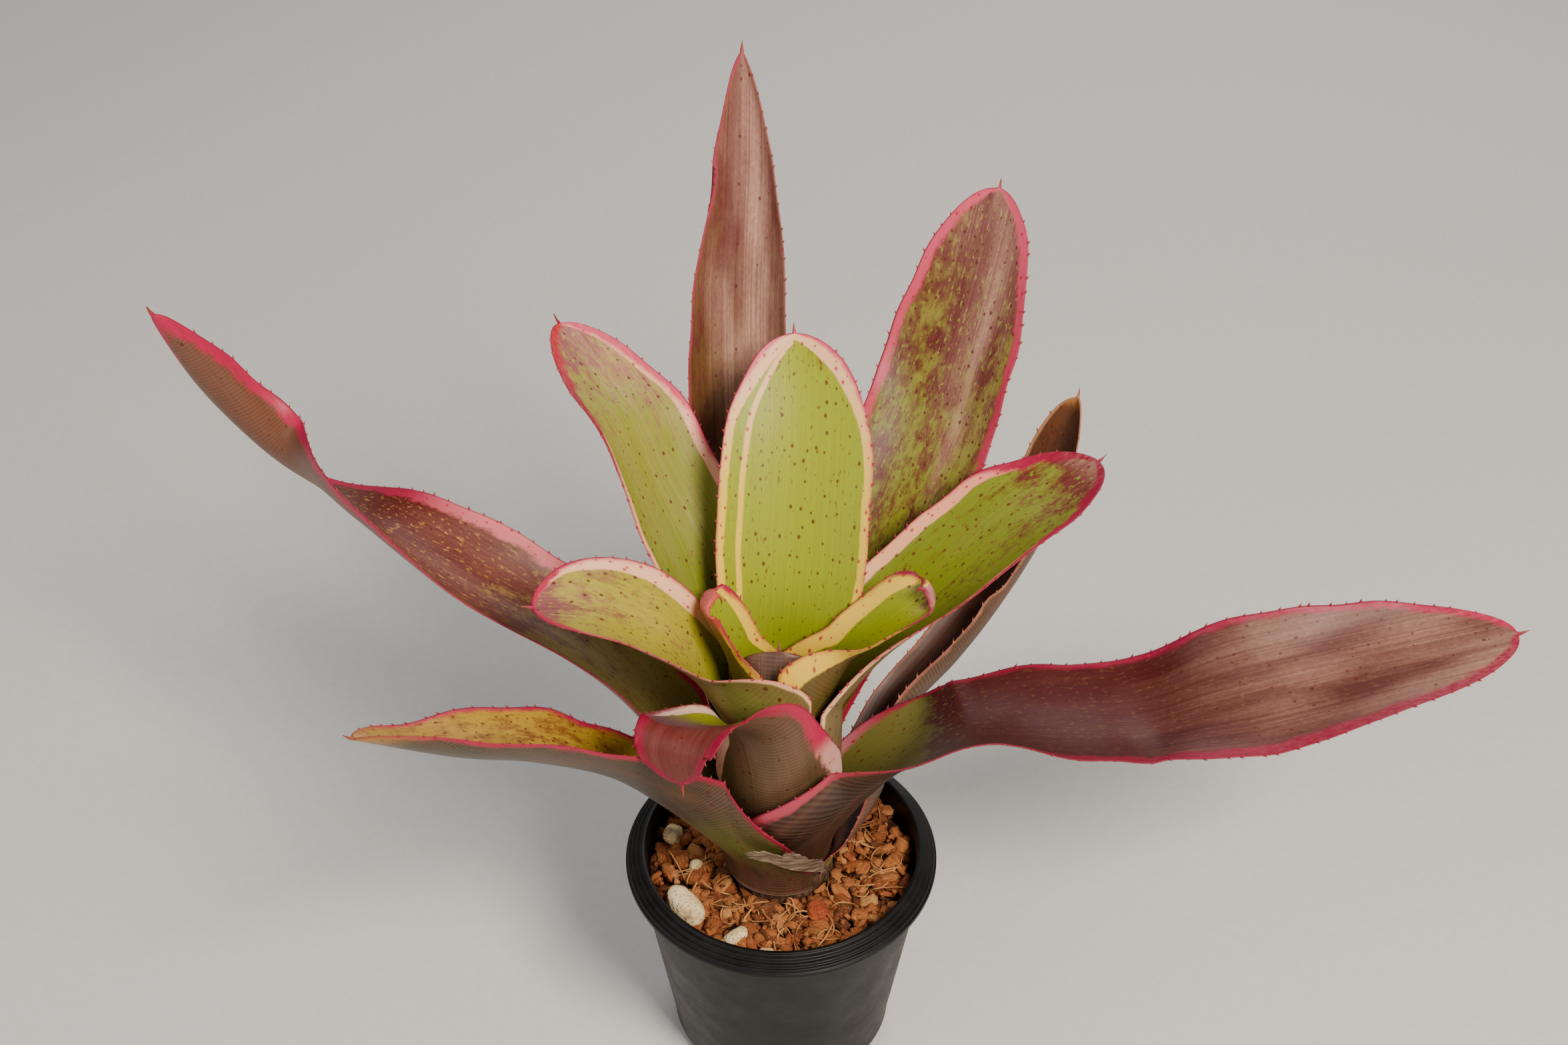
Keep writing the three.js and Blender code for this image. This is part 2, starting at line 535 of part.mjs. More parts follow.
// ---- assembly ----
const plant = new THREE.Group();
function addPiece(name, geometry, color, roughness) {
  const mesh = new THREE.Mesh(geometry, material(color, roughness));
  mesh.name = name;
  plant.add(mesh);
}

addPiece("pot", potGeometry(), 0x1c1c1e, 0.5);
addPiece("husk_bed", bedGeometry(), 0x9c5e34, 0.95);
for (const stone of STONES) addPiece(stone.name, stoneGeometry(stone), stone.color, 0.9);
addPiece("stem", stemGeometry(LEAVES.length), 0x6a4a30, 0.8);
addPiece("dry_scale", scaleGeometry(), 0x8d7a68, 0.9);
for (const leaf of LEAVES) addPiece(leaf.name, leafGeometry(leaf), leaf.color, 0.45);

export default plant;
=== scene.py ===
# A neoregelia bromeliad in a round nursery pot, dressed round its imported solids. +Z is up and -Y the front.
# Sizes are in millimetres here and become metres in the meshes.
import json
import bpy
import numpy as np
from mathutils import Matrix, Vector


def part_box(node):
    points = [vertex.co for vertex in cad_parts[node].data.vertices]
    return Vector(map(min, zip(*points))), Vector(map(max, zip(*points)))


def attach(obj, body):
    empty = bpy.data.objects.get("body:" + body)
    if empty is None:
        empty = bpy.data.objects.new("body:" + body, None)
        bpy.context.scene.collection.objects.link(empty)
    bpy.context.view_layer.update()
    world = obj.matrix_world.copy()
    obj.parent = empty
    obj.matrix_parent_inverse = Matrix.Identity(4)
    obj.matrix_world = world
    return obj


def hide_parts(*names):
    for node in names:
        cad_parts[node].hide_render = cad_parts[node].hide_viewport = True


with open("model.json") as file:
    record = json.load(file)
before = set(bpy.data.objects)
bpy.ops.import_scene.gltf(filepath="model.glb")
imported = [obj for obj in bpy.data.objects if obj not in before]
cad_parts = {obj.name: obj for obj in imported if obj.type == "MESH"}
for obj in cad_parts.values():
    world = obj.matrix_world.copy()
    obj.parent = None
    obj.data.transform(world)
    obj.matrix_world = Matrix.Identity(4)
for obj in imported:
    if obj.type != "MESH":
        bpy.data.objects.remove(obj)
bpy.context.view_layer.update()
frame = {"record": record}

# ---- Nursery pot --------------------------------------------------------------------------------------
# Thin-walled black polypropylene, injection moulded in one shot. Its rim is rolled outward in stepped rings
# that stiffen it, and six drain holes go through its floor. It stands on its foot and carries all the rest.
MM = 0.001
AXIS = 0.01  # the radius of a profile's ends, near enough to the axis to close on it
POT_TURNS = 180  # faces round the pot
RIM_RADIUS, _, POT_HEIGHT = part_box("pot")[1] / MM
MOUTH_RADIUS = 43.7
WALL_TOP = 72  # where the inner wall meets the mouth
FOOT_RADIUS = 33
POT_FLOOR = 2
MOULDED_EDGE = 0.35
DRAIN_HOLES = 6
DRAIN_RADIUS = 3.5
DRAIN_CIRCLE = 25  # the radius at which they lie

# The rim from its lip upward: how far each corner of its rings is set in, and its height.
RIM_RINGS = [
    (0.6, 73.7), (0, 74.2), (0, 75.7), (0.7, 75.9), (0.8, 76.9),
    (1.8, 77), (1.9, 77.9), (3.2, 78.1), (3.4, 79),
]


def linear(colour):
    """The linear RGBA of an sRGB hex colour."""
    srgb = np.array([int(colour[i : i + 2], 16) for i in (1, 3, 5)]) / 255
    return (*np.where(srgb <= 0.04045, srgb / 12.92, ((srgb + 0.055) / 1.055) ** 2.4), 1.0)


def new_material(name, **values):
    """A material of one Principled shader, with its uniform values set on the shader's own sockets."""
    made = bpy.data.materials.new(name)
    made.use_nodes = True
    shader = made.node_tree.nodes["Principled BSDF"]
    for key, value in values.items():
        shader.inputs[key.replace("_", " ")].default_value = value
    return made, made.node_tree, shader


def feed(tree, shader, **sources):
    """Links other nodes' outputs to the shader's sockets."""
    for key, source in sources.items():
        tree.links.new(source, shader.inputs[key.replace("_", " ")])


def node(tree, kind, links=None, out=None, ramp=None, **settings):
    """Adds a shader node: settings are its own values, and ramp the [place, hex colour] stops of a colour
    ramp. Links are its sockets' values, hex colours or the outputs that feed them, by name or number. It
    gives back the output named out, a list of them for a tuple of names, or else the first one in use."""
    made = tree.nodes.new("ShaderNode" + kind)
    for key, value in settings.items():
        setattr(made, key, value)
    for key, value in (links or {}).items():
        named = [socket for socket in made.inputs if socket.name == key and socket.enabled]
        socket = named[0] if named else made.inputs[key]
        if isinstance(value, bpy.types.NodeSocket):
            tree.links.new(value, socket)
        else:
            socket.default_value = linear(value) if isinstance(value, str) else value
    if ramp:
        stops = made.color_ramp.elements
        while len(stops) < len(ramp):
            stops.new(1)
        for stop, (place, colour) in zip(stops, ramp):
            stop.position = place
            stop.color = linear(colour)
    if isinstance(out, tuple):
        return [made.outputs[name] for name in out]
    return made.outputs[out] if out else next(s for s in made.outputs if s.enabled)


def grid_quads(rows, columns, wrap=False):
    """The quads of a grid of rows by columns vertices, closed on itself across the columns if it wraps."""
    row, column = np.meshgrid(np.arange(rows - 1), np.arange(columns - (not wrap)), indexing="ij")
    beside = (column + 1) % columns
    corners = [row * columns + column, row * columns + beside, (row + 1) * columns + beside]
    return np.stack([*corners, (row + 1) * columns + column], -1).reshape(-1, 4)


def outward(points, quads):
    """The quads, all turned round if the volume that they enclose comes out negative."""
    a, b, c, d = (points[quads[:, k]] for k in range(4))
    volume = (a * (np.cross(b, c) + np.cross(c, d))).sum()
    return quads if volume > 0 else quads[:, ::-1]


def joined(parts):
    """One set of points, quads and attributes out of several, each [points, quads, attributes]."""
    shift = np.cumsum([0] + [len(points) for points, _, _ in parts[:-1]])
    points = np.concatenate([part[0] for part in parts])
    quads = np.concatenate([part[1] + start for part, start in zip(parts, shift)])
    return points, quads, {key: np.concatenate([part[2][key] for part in parts]) for key in parts[0][2]}


def add_piece(name, points, quads, material, slot, replaced, attributes=None):
    """A finished piece from points in millimetres and quads, with its attributes on the points: 1, 3 or 4
    numbers each. It rides on the plant's one body and stands for the nodes that it replaces."""
    mesh = bpy.data.meshes.new(name)
    mesh.vertices.add(len(points))
    mesh.vertices.foreach_set("co", (points * MM).astype(np.float32).ravel())
    mesh.loops.add(quads.size)
    mesh.loops.foreach_set("vertex_index", quads.astype(np.int32).ravel())
    mesh.polygons.add(len(quads))
    mesh.polygons.foreach_set("loop_start", np.arange(0, quads.size, 4, dtype=np.int32))
    mesh.update(calc_edges=True)
    for key, values in (attributes or {}).items():
        kinds = {1: ("FLOAT", "value"), 3: ("FLOAT_VECTOR", "vector"), 4: ("FLOAT_COLOR", "color")}
        kind, field = kinds[1 if values.ndim == 1 else values.shape[1]]
        mesh.attributes.new(key, kind, "POINT").data.foreach_set(field, values.astype(np.float32).ravel())
    mesh.materials.append(material)
    mesh.shade_smooth()
    made = bpy.data.objects.new(name, mesh)
    bpy.context.scene.collection.objects.link(made)
    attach(made, "root")
    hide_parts(*replaced)
    return made


def rounded(corners, radius, steps=4):
    """A polyline with each inner corner drawn as a parabola that starts and ends radius away from it, or
    halfway along the side where that is nearer."""
    corners = np.array(corners, float)
    before, here, after = corners[:-2], corners[1:-1], corners[2:]
    reach = [np.minimum(radius, np.linalg.norm(end - here, axis=1) / 2)[:, None] for end in (before, after)]
    toward = [(end - here) / np.linalg.norm(end - here, axis=1)[:, None] for end in (before, after)]
    start, end = (here + r * t for r, t in zip(reach, toward))
    t = np.linspace(0, 1, steps + 1)[None, :, None]
    curve = (1 - t) ** 2 * start[:, None] + 2 * t * (1 - t) * here[:, None] + t**2 * end[:, None]
    return np.concatenate([corners[:1], curve.reshape(-1, 2), corners[-1:]])


def revolved(profile, turns):
    """Points and quads of a profile of [radius, height] carried round +Z, its ends closed on the axis."""
    angle = np.linspace(0, 2 * np.pi, turns, endpoint=False)
    radius, height = profile[:, :1], profile[:, 1:]
    points = np.stack([radius * np.cos(angle), radius * np.sin(angle), height + 0 * angle], -1)
    quads = grid_quads(len(profile), turns, wrap=True)
    return points.reshape(-1, 3), outward(points.reshape(-1, 3), quads)


pot_profile = rounded(
    [
        [AXIS, 0], [FOOT_RADIUS, 0], [FOOT_RADIUS + 3.4, 3], [FOOT_RADIUS + 3.8, 8], [46.2, 73], [47.4, 74.2],
        *([RIM_RADIUS - inset, z] for inset, z in RIM_RINGS),
        [MOUTH_RADIUS + 1.5, 79.3], [MOUTH_RADIUS + 1.2, POT_HEIGHT], [MOUTH_RADIUS, POT_HEIGHT - 0.2],
        [MOUTH_RADIUS - 0.4, 74], [MOUTH_RADIUS - 0.6, WALL_TOP],
        [FOOT_RADIUS + 1, POT_FLOOR], [AXIS, POT_FLOOR],
    ],
    MOULDED_EDGE,
)

# Satin black plastic with a moulded grain of 0.7 mm, greyed by dust in patches of 11 mm.
plastic, tree, shader = new_material("black_polypropylene", IOR=1.49, Specular_IOR_Level=0.28)
here = node(tree, "TexCoord", out="Object")
dust = node(tree, "TexNoise", {"Vector": here, "Scale": 1 / (11.1 * MM), "Detail": 6.0, "Roughness": 0.7})
dusty = node(tree, "MapRange", {"Value": dust, "From Min": 0.45, "From Max": 0.75, "To Max": 0.4})
colour = node(tree, "Mix", {"Factor": dusty, "A": "#0b0b0c", "B": "#262423"}, data_type="RGBA")
worn = {"Value": dust, "From Min": 0.3, "From Max": 0.8, "To Min": 0.36, "To Max": 0.6}
dull = node(tree, "MapRange", worn)
grain = node(tree, "TexNoise", {"Vector": here, "Scale": 1 / (0.714 * MM), "Detail": 2.0})
relief = node(tree, "Bump", {"Height": grain, "Distance": 0.06 * MM, "Strength": 0.6})
feed(tree, shader, Base_Color=colour, Roughness=dull, Normal=relief)

pot_points, pot_quads = revolved(pot_profile, POT_TURNS)
pot = add_piece("nursery_pot", pot_points, pot_quads, plastic, "pot", ["pot"])
drill_ends = [[AXIS, -1], [DRAIN_RADIUS, -1], [DRAIN_RADIUS, POT_FLOOR + 1], [AXIS, POT_FLOOR + 1]]
drill_points, drill_quads = revolved(np.array(drill_ends), 24)
angles = (np.arange(DRAIN_HOLES) + 0.5) * 2 * np.pi / DRAIN_HOLES
centres = DRAIN_CIRCLE * np.stack([np.cos(angles), np.sin(angles), 0 * angles], -1)
points, quads, _ = joined([[drill_points + centre, drill_quads, {}] for centre in centres])
drill_mesh = bpy.data.meshes.new("drills")
drill_mesh.from_pydata(points * MM, [], quads)
drill = bpy.data.objects.new("drills", drill_mesh)
bpy.context.scene.collection.objects.link(drill)
cut = pot.modifiers.new("drain_holes", "BOOLEAN")
cut.object = drill
bpy.context.view_layer.update()
pot_mesh = bpy.data.meshes.new_from_object(pot.evaluated_get(bpy.context.evaluated_depsgraph_get()))
pot.modifiers.clear()
pot.data = pot_mesh
bpy.data.objects.remove(drill)

# ---- Husk bed -----------------------------------------------------------------------------------------
# Coconut husk, chopped into chips of 4 to 9 mm, soaked and tipped in loose round the stem. Orange-brown pith
# with straw-coloured fibres, over darker coir dust that fills the pot. It lies a little lower on the left.
BED_HEIGHT = 70
BED_SLOPE = 0.03
BED_GAP = 0.4  # between the bed and the pot's wall
DUST_TOP = 68
STEM_RADIUS = 17
CHIPS = 420
CHIP_SIZES = [4.2, 2.8, 1.6], [8.6, 5.2, 3.2]  # length, breadth and thickness, the least and the most
CRUMBS = 260
CRUMB_SIZES = 0.9, 2.4
FIBRES = 110
FIBRE_LENGTHS = 5, 15
FIBRE_RADII = 0.16, 0.34
GOLDEN_ANGLE = 2.39996


def mix(a, b, t):
    """The point a share t of the way from a to b."""
    return a + (b - a) * t


def smooth(t):
    """An ease from 0 to 1 that starts and ends level."""
    t = np.clip(t, 0, 1)
    return t * t * (3 - 2 * t)


def ripple(points, wavelength, seed, waves=24):
    """Smooth random relief of about -1 to 1: the scaled sum of sine waves near a wavelength, each with its
    own seeded direction and phase."""
    random = np.random.default_rng(seed)
    direction = random.normal(size=(points.shape[-1], waves))
    lengths = wavelength * random.uniform(0.7, 1.4, waves)
    direction *= 2 * np.pi / (np.linalg.norm(direction, axis=0) * lengths)
    return np.sin(points @ direction + random.uniform(0, 2 * np.pi, waves)).sum(-1) / np.sqrt(2 * waves)


def block(cells):
    """Points and quads of a cube from -1 to 1, with so many cells along each edge."""
    line = np.linspace(-1, 1, cells + 1)
    a, b = np.meshgrid(line, line, indexing="ij")
    sides = []
    for axis in range(3):
        for sign in (-1, 1):
            side = np.roll(np.stack([a, b, np.full_like(a, sign)], -1), axis, axis=-1)
            sides.append((side if sign > 0 else side[::-1]).reshape(-1, 3))
    points, index = np.unique(np.round(np.concatenate(sides), 6), axis=0, return_inverse=True)
    cell = grid_quads(cells + 1, cells + 1)
    quads = index.reshape(-1)[np.concatenate([cell + k * (cells + 1) ** 2 for k in range(6)])]
    return points, outward(points, quads)


def repeated(quads, count, size):
    """The quads of one small mesh of so many points, repeated for a count of them laid end to end."""
    return (quads[None] + (np.arange(count) * size)[:, None, None]).reshape(-1, 4)


def turned(points, yaw, pitch, roll):
    """Points [n, k, 3] turned by roll about X, then pitch about Y, then yaw about Z, with n angles each."""
    for angle, (i, j) in ((roll, (1, 2)), (pitch, (2, 0)), (yaw, (0, 1))):
        c, s = np.cos(angle)[:, None], np.sin(angle)[:, None]
        a, b = points[..., i], points[..., j]
        points = points.copy()
        points[..., i], points[..., j] = c * a - s * b, s * a + c * b
    return points


def wall_radius(z):
    """The inner radius of the pot's wall at a height."""
    return mix(FOOT_RADIUS + 1, MOUTH_RADIUS - 0.5, (z - POT_FLOOR) / (WALL_TOP - POT_FLOOR))


def bed_top(x):
    """The height of the bed's loose surface."""
    return BED_HEIGHT + BED_SLOPE * x


def scattered(cells, sizes, heights, seed, ragged):
    """Loose chips round the stem: cubes blunted to a superellipsoid of power 5 and drawn out to the given
    sizes, with ragged faces, tumbled, laid out along a golden-angle spiral and pressed clear of the wall
    and of the stem. Grain is each chip's own coordinates, moved to a random place in the pattern."""
    random = np.random.default_rng(seed)
    count = len(sizes)
    cube, quads = block(cells)
    cube = cube / np.linalg.norm(cube, ord=5, axis=1)[:, None]
    local = cube * sizes[:, None] / 2 * (1 + ragged * random.uniform(-1, 1, (count, len(cube), 1)))
    tilt = random.normal(0, 0.45, (2, count))
    points = turned(local, random.uniform(0, 2 * np.pi, count), tilt[0], tilt[1])
    share = (np.arange(count) + random.uniform(0, 1, count)) / count
    out = np.sqrt(mix((STEM_RADIUS - 2) ** 2, (MOUTH_RADIUS - 2.5) ** 2, share))
    around = np.arange(count) * GOLDEN_ANGLE + random.uniform(-0.2, 0.2, count)
    x, y = out * np.cos(around), out * np.sin(around)
    points = points + np.stack([x, y, bed_top(x) + heights], -1)[:, None]
    reach = np.hypot(points[..., 0], points[..., 1])
    inside = np.clip(reach, STEM_RADIUS + 0.3, wall_radius(points[..., 2]) - BED_GAP) / reach
    points[..., :2] *= inside[..., None]
    grain = local + random.uniform(-500, 500, (count, 1, 3))
    shade = np.repeat(random.uniform(0, 1, count), len(cube))
    attributes = {"grain": grain.reshape(-1, 3), "shade": shade}
    return points.reshape(-1, 3), repeated(quads, count, len(cube)), attributes


def swept(paths, radii, sides):
    """Strands: a ring of so many sides carried along each path [n, k, 3], with radii [n, k] that shrink
    almost to nothing at both ends."""
    along = np.gradient(paths, axis=1)
    along /= np.linalg.norm(along, axis=-1, keepdims=True)
    side = np.cross(along, [0.13, 0.21, 0.97])
    side /= np.linalg.norm(side, axis=-1, keepdims=True)
    other = np.cross(along, side)
    angle = np.linspace(0, 2 * np.pi, sides, endpoint=False)
    ring = side[:, :, None] * np.cos(angle)[:, None] + other[:, :, None] * np.sin(angle)[:, None]
    radii = np.array(radii, float)
    radii[:, [0, -1]] *= 0.05
    points = (paths[:, :, None] + ring * radii[..., None, None]).reshape(-1, 3)
    count, steps = paths.shape[:2]
    return points, outward(points, repeated(grid_quads(steps, sides, wrap=True), count, steps * sides))


def mottled(name, sizes, detail, stops, depth=0, broken=0.5, lean=0, **values):
    """A material coloured by one noise pattern on a ramp of stops. Its features have the given sizes in
    millimetres along X, Y and Z, lean by so many radians about Y and stand out by the depth."""
    made, tree, shader = new_material(name, **values)
    here = node(tree, "TexCoord", out="Object")
    scale = [1 / (size * MM) for size in sizes]
    here = node(tree, "Mapping", {"Vector": here, "Rotation": (0, lean, 0), "Scale": scale})
    pattern = node(tree, "TexNoise", {"Vector": here, "Scale": 1.0, "Detail": detail, "Roughness": broken})
    relief = node(tree, "Bump", {"Height": pattern, "Distance": depth * MM})
    feed(tree, shader, Base_Color=node(tree, "ValToRGB", {"Fac": pattern}, ramp=stops), Normal=relief)
    return made


# Soaked pith, dull and rough: each chip has its own brown, and pale and dark fibres 0.45 by 3 mm.
husk, tree, shader = new_material("coconut_husk_pith", IOR=1.4, Roughness=0.92)
grain = node(tree, "Attribute", out="Vector", attribute_name="grain")
shade = node(tree, "Attribute", out="Fac", attribute_name="shade")
browns = [
    [0, "#5a2c14"], [0.2, "#8c4a24"], [0.45, "#a8602f"], [0.7, "#bd7840"], [0.88, "#a3502a"], [1, "#c99256"],
]
colour = node(tree, "ValToRGB", {"Fac": shade}, ramp=browns)
strands = node(tree, "Mapping", {"Vector": grain, "Scale": (0.35, 2.2, 2.2)})
strand = node(tree, "TexNoise", {"Vector": strands, "Scale": 1.0, "Detail": 5.0, "Roughness": 0.65})
pale = node(tree, "MapRange", {"Value": strand, "From Min": 0.5, "From Max": 0.78, "To Max": 0.6})
colour = node(tree, "Mix", {"Factor": pale, "A": colour, "B": "#d3a268"}, data_type="RGBA")
dark = node(tree, "MapRange", {"Value": strand, "From Min": 0.48, "From Max": 0.28, "To Max": 0.75})
colour = node(tree, "Mix", {"Factor": dark, "A": colour, "B": "#4a2412"}, data_type="RGBA")
relief = node(tree, "Bump", {"Height": strand, "Distance": 0.8 * MM, "Strength": 0.9})
feed(tree, shader, Base_Color=colour, Normal=relief)

random = np.random.default_rng(5)
chip_sizes = random.uniform(*CHIP_SIZES, (CHIPS, 3))
chip_heights = np.where(np.arange(CHIPS) % 3 == 0, -2.4, 0.4) + random.uniform(-0.9, 0.9, CHIPS)
chips = scattered(3, chip_sizes, chip_heights, 8, 0.2)
crumbs = scattered(1, random.uniform(*CRUMB_SIZES, (CRUMBS, 3)), random.uniform(0.5, 2.2, CRUMBS), 9, 0.3)
points, quads, attributes = joined([chips, crumbs])
add_piece("husk_chips", points, quads, husk, "husk", ["husk_bed"], attributes)

# Dry straw-coloured fibre, its brown changing every 8 mm or so.
straws = [[0.35, "#8a5226"], [0.6, "#c8945a"]]
straw = mottled("coir_fibre", (8.33, 8.33, 8.33), 2.0, straws, IOR=1.4, Roughness=0.7)
length = random.uniform(*FIBRE_LENGTHS, FIBRES)
around, aim = random.uniform(0, 2 * np.pi, (2, FIBRES))
out = np.sqrt(random.uniform((STEM_RADIUS + 4) ** 2, (MOUTH_RADIUS - 6.7) ** 2, FIBRES))
t = np.linspace(-0.5, 0.5, 8)
bend = random.normal(0, 0.9, (FIBRES, 1))
rise = random.uniform(-0.15, 0.3, (FIBRES, 1)) * np.abs(t) * length[:, None]
x = (out * np.cos(around))[:, None] + np.cos(aim[:, None] + bend * t) * t * length[:, None]
y = (out * np.sin(around))[:, None] + np.sin(aim[:, None] + bend * t) * t * length[:, None]
z = bed_top(x) + 2.2 + random.uniform(-0.6, 0.8, (FIBRES, 1)) + rise
paths = np.stack([x, y, z], -1)
reach = np.hypot(x, y)
paths[..., :2] *= (np.clip(reach, STEM_RADIUS + 1, MOUTH_RADIUS - 1.6) / reach)[..., None]
thickness = random.uniform(*FIBRE_RADII, (FIBRES, 1)) + 0 * t
add_piece("coir_fibres", *swept(paths, thickness, 5), straw, "husk", ["husk_bed"])

# Wet coir dust, near black, in lumps of 3 mm.
darks = [[0.35, "#1c0e08"], [0.62, "#4a2816"]]
dust = mottled("coir_dust", (2.86, 2.86, 2.86), 4.0, darks, IOR=1.4, Roughness=0.97)
low, high = wall_radius(POT_FLOOR) - BED_GAP, wall_radius(DUST_TOP) - BED_GAP
dust_profile = np.concatenate([
    np.linspace([AXIS, POT_FLOOR + 0.3], [low, POT_FLOOR + 0.3], 8),
    np.linspace([low, POT_FLOOR + 0.8], [high, DUST_TOP], 24),
    np.linspace([high - 0.8, DUST_TOP + 0.4], [AXIS, DUST_TOP + 0.4], 34),
])
points, quads = revolved(dust_profile, 96)
lumps = ripple(points[:, :2], 7, 3) + BED_SLOPE * points[:, 0]
points[:, 2] += np.where(points[:, 2] > DUST_TOP, lumps, 0)
add_piece("coir_dust_bed", points, quads, dust, "husk", ["husk_bed"])

# ---- Stones -------------------------------------------------------------------------------------------
# Pumice grit left among the husk: cream, frothy volcanic stone, tumbled blunt, stained grey where it has been
# wet. One granule of fired clay lies with it, brick red. They rest in the top of the bed.
STONES = {
    "stone_large": dict(at=(-30.6, -20.5, 73), half=(7.5, 4.2, 4.6), turn=-48),
    "stone_left": dict(at=(-35.5, 10.5, 72), half=(3.6, 2.8, 3.2), turn=70),
    "stone_small": dict(at=(-27.5, -2.6, 72), half=(2.2, 1.6, 1.8), turn=20),
    "stone_front": dict(at=(-14, -32, 72), half=(4.2, 2.4, 2.4), turn=35),
    "stone_rim": dict(at=(-4.5, -37.5, 71), half=(2.4, 1.6, 1.6), turn=10),
    "chunk_red": dict(at=(11.5, -22, 73), half=(3.4, 2.8, 3), turn=20),
}
PORE = 0.55  # across, the larger pores


def stone_material(name, pale, body, stain):
    """Rough stone, wholly dull: a body colour with paler patches and dark stains in patches of 6 mm, pitted
    by the pores, with painted shade in their hollows in the stain colour, over a grit of 0.7 mm."""
    made, tree, shader = new_material(name, IOR=1.5, Roughness=0.95)
    here = node(tree, "TexCoord", out="Object")
    patches = {"Vector": here, "Scale": 1 / (6.25 * MM), "Detail": 5.0, "Roughness": 0.6}
    patch = node(tree, "TexNoise", patches)
    colour = node(tree, "ValToRGB", {"Fac": patch}, ramp=[[0.3, stain], [0.46, body], [0.66, pale]])
    pits = node(tree, "TexVoronoi", {"Vector": here, "Scale": 1 / (2.2 * PORE * MM)})
    pore_depth_and_shade = node(tree, "MapRange", {"Value": pits, "From Min": 0.42, "From Max": 0.12, "To Max": 0.5})
    # The pores' hollows are painted toward the stain colour: painted shade, not a stain.
    colour = node(tree, "Mix", {"Factor": pore_depth_and_shade, "A": colour, "B": stain}, data_type="RGBA")
    hollow = node(tree, "Bump", {"Height": pore_depth_and_shade, "Distance": 0.5 * MM, "Strength": 0.8}, invert=True)
    grit = node(tree, "TexNoise", {"Vector": here, "Scale": 1 / (0.667 * MM), "Detail": 3.0})
    relief = node(tree, "Bump", {"Height": grit, "Distance": 0.2 * MM, "Normal": hollow})
    feed(tree, shader, Base_Color=colour, Normal=relief)
    return made


pumice = stone_material("pumice", "#f8e6ba", "#e6cc94", "#86705a")
clay = stone_material("fired_clay", "#b55a30", "#93401f", "#55240f")
for seed, (name, stone) in enumerate(STONES.items()):
    ball, quads = block(16)
    ball = ball / np.linalg.norm(ball, ord=2.6, axis=1)[:, None]
    bumps = 0.1 * ripple(ball, 1.6, seed) + 0.03 * ripple(ball, 0.5, seed + 20)
    shape = ball * stone["half"] * (1 + bumps[:, None])
    points = turned(shape[None], np.radians([stone["turn"]]), np.zeros(1), np.zeros(1))[0] + stone["at"]
    finish, slot = (clay, "fired_clay") if name == "chunk_red" else (pumice, "pumice")
    add_piece(name + "_grain", points, quads, finish, slot, [name])

# ---- Stem ---------------------------------------------------------------------------------------------
# The short woody stem, hidden by the sheaths but for its collar in the bed: dull brown, ringed with the scars
# and torn fibres of leaves that have gone. It stands in the bed and carries every sheath.
LEAF_COUNT = 14
SHEATH_PITCH = 1.25  # from one sheath to the next one out
SHEATH_START = 104  # height at which the innermost sheath leaves the stem
SHEATH_START_STEP = 2.2
STEM_ROOT = 62
STEM_COLLAR = 16.6  # its radius where it shows above the bed
STEM_GAP = 1.6  # from the stem to the sheath that leaves it


def tank_radius(z):
    """The radius of the innermost sheath: a narrow foot that swells into the tank from 78 to 123 mm up."""
    return mix(1.8, 12, smooth((z - 78) / 45))


def sheath_radius(layer, z):
    """The radius of a sheath at a height, counted from the innermost."""
    return tank_radius(z) + SHEATH_PITCH * layer


def sheath_start(layer):
    """The height at which a sheath leaves the stem."""
    return SHEATH_START - SHEATH_START_STEP * layer


# Dull bark, drawn out up the stem: streaks 1.1 mm wide and 11 mm long.
browns = [[0.28, "#20140d"], [0.5, "#4a3020"], [0.66, "#6e5036"], [0.8, "#8f7552"]]
bark = mottled("old_stem_bark", (1.11, 1.11, 11.1), 5.0, browns, 0.6, 0.6, IOR=1.45, Roughness=0.85)
starts = [(k, sheath_start(k)) for k in range(LEAF_COUNT - 1, 0, -2)]
steps = [[sheath_radius(k, z) - STEM_GAP, z] for k, z in starts]
collar = [[AXIS, STEM_ROOT], [13.5, STEM_ROOT], [STEM_COLLAR, 66], [STEM_COLLAR, 73]]
points, quads = revolved(rounded([*collar, *steps, [AXIS, SHEATH_START - 1]], 1.2), 120)
scars = ripple(points * [1, 1, 3], 9, 4)[:, None] * 0.02
add_piece("stem_bark", points * ([1, 1, 0] * scars + 1), quads, bark, "stem", ["stem"])

# ---- Leaves -------------------------------------------------------------------------------------------
# Fourteen strap leaves of one rosette. Each has a sheath that wraps the stem with the others into a tank, and
# a stiff blade about 0.8 mm thick, edged with hooked spines a millimetre long and ending in a sharp point.
# The blades are green, cream at the margins, and flush maroon and crimson where they get the most light. Both
# faces carry fine silver scales in rows, brightened in places by a painted sheen.
LIME, YELLOW_GREEN, LEAF_GREEN, OLIVE = "#96a018", "#a8a022", "#768418", "#5c5616"
CREAM, BUTTER, BLUSH, PINK, ROSE, CRIMSON = "#fad498", "#f4ca40", "#f6b094", "#e0506e", "#b81848", "#8c0430"
MAROON, WINE, PLUM = "#481410", "#641a18", "#62222c"
TAUPE, UMBER, KHAKI, BARK, TAN = "#7c5e40", "#46301c", "#726422", "#301a0c", "#ac7434"
WAXY = 0.42  # the roughness of a leaf without scales
UP = np.array([0, 0, 1])
THICKNESS = 0.8
ROW_STEP = 1.3  # between the mesh's rows along a blade
COLUMNS = 40  # mesh cells across a blade
CROWDING = 0.86  # how far the columns crowd toward the margins, 1 being a full sine
LEAST_HALF = 0.6  # half the width of the blade's end, from which the point runs out
TIP_SPINE = 3.5  # length of the point
TIP_THICKNESS = 1.1
TIP_TAPER = 0.93  # how much of its width the point loses
TIP_HOOK = 0.6  # how far the point bends inward
SPINE_GAP = 5.5
SPINE_LENGTH = 1.3
SPINES_FROM, SPINES_TO = 0.02, 0.985  # the share of the blade that has spines
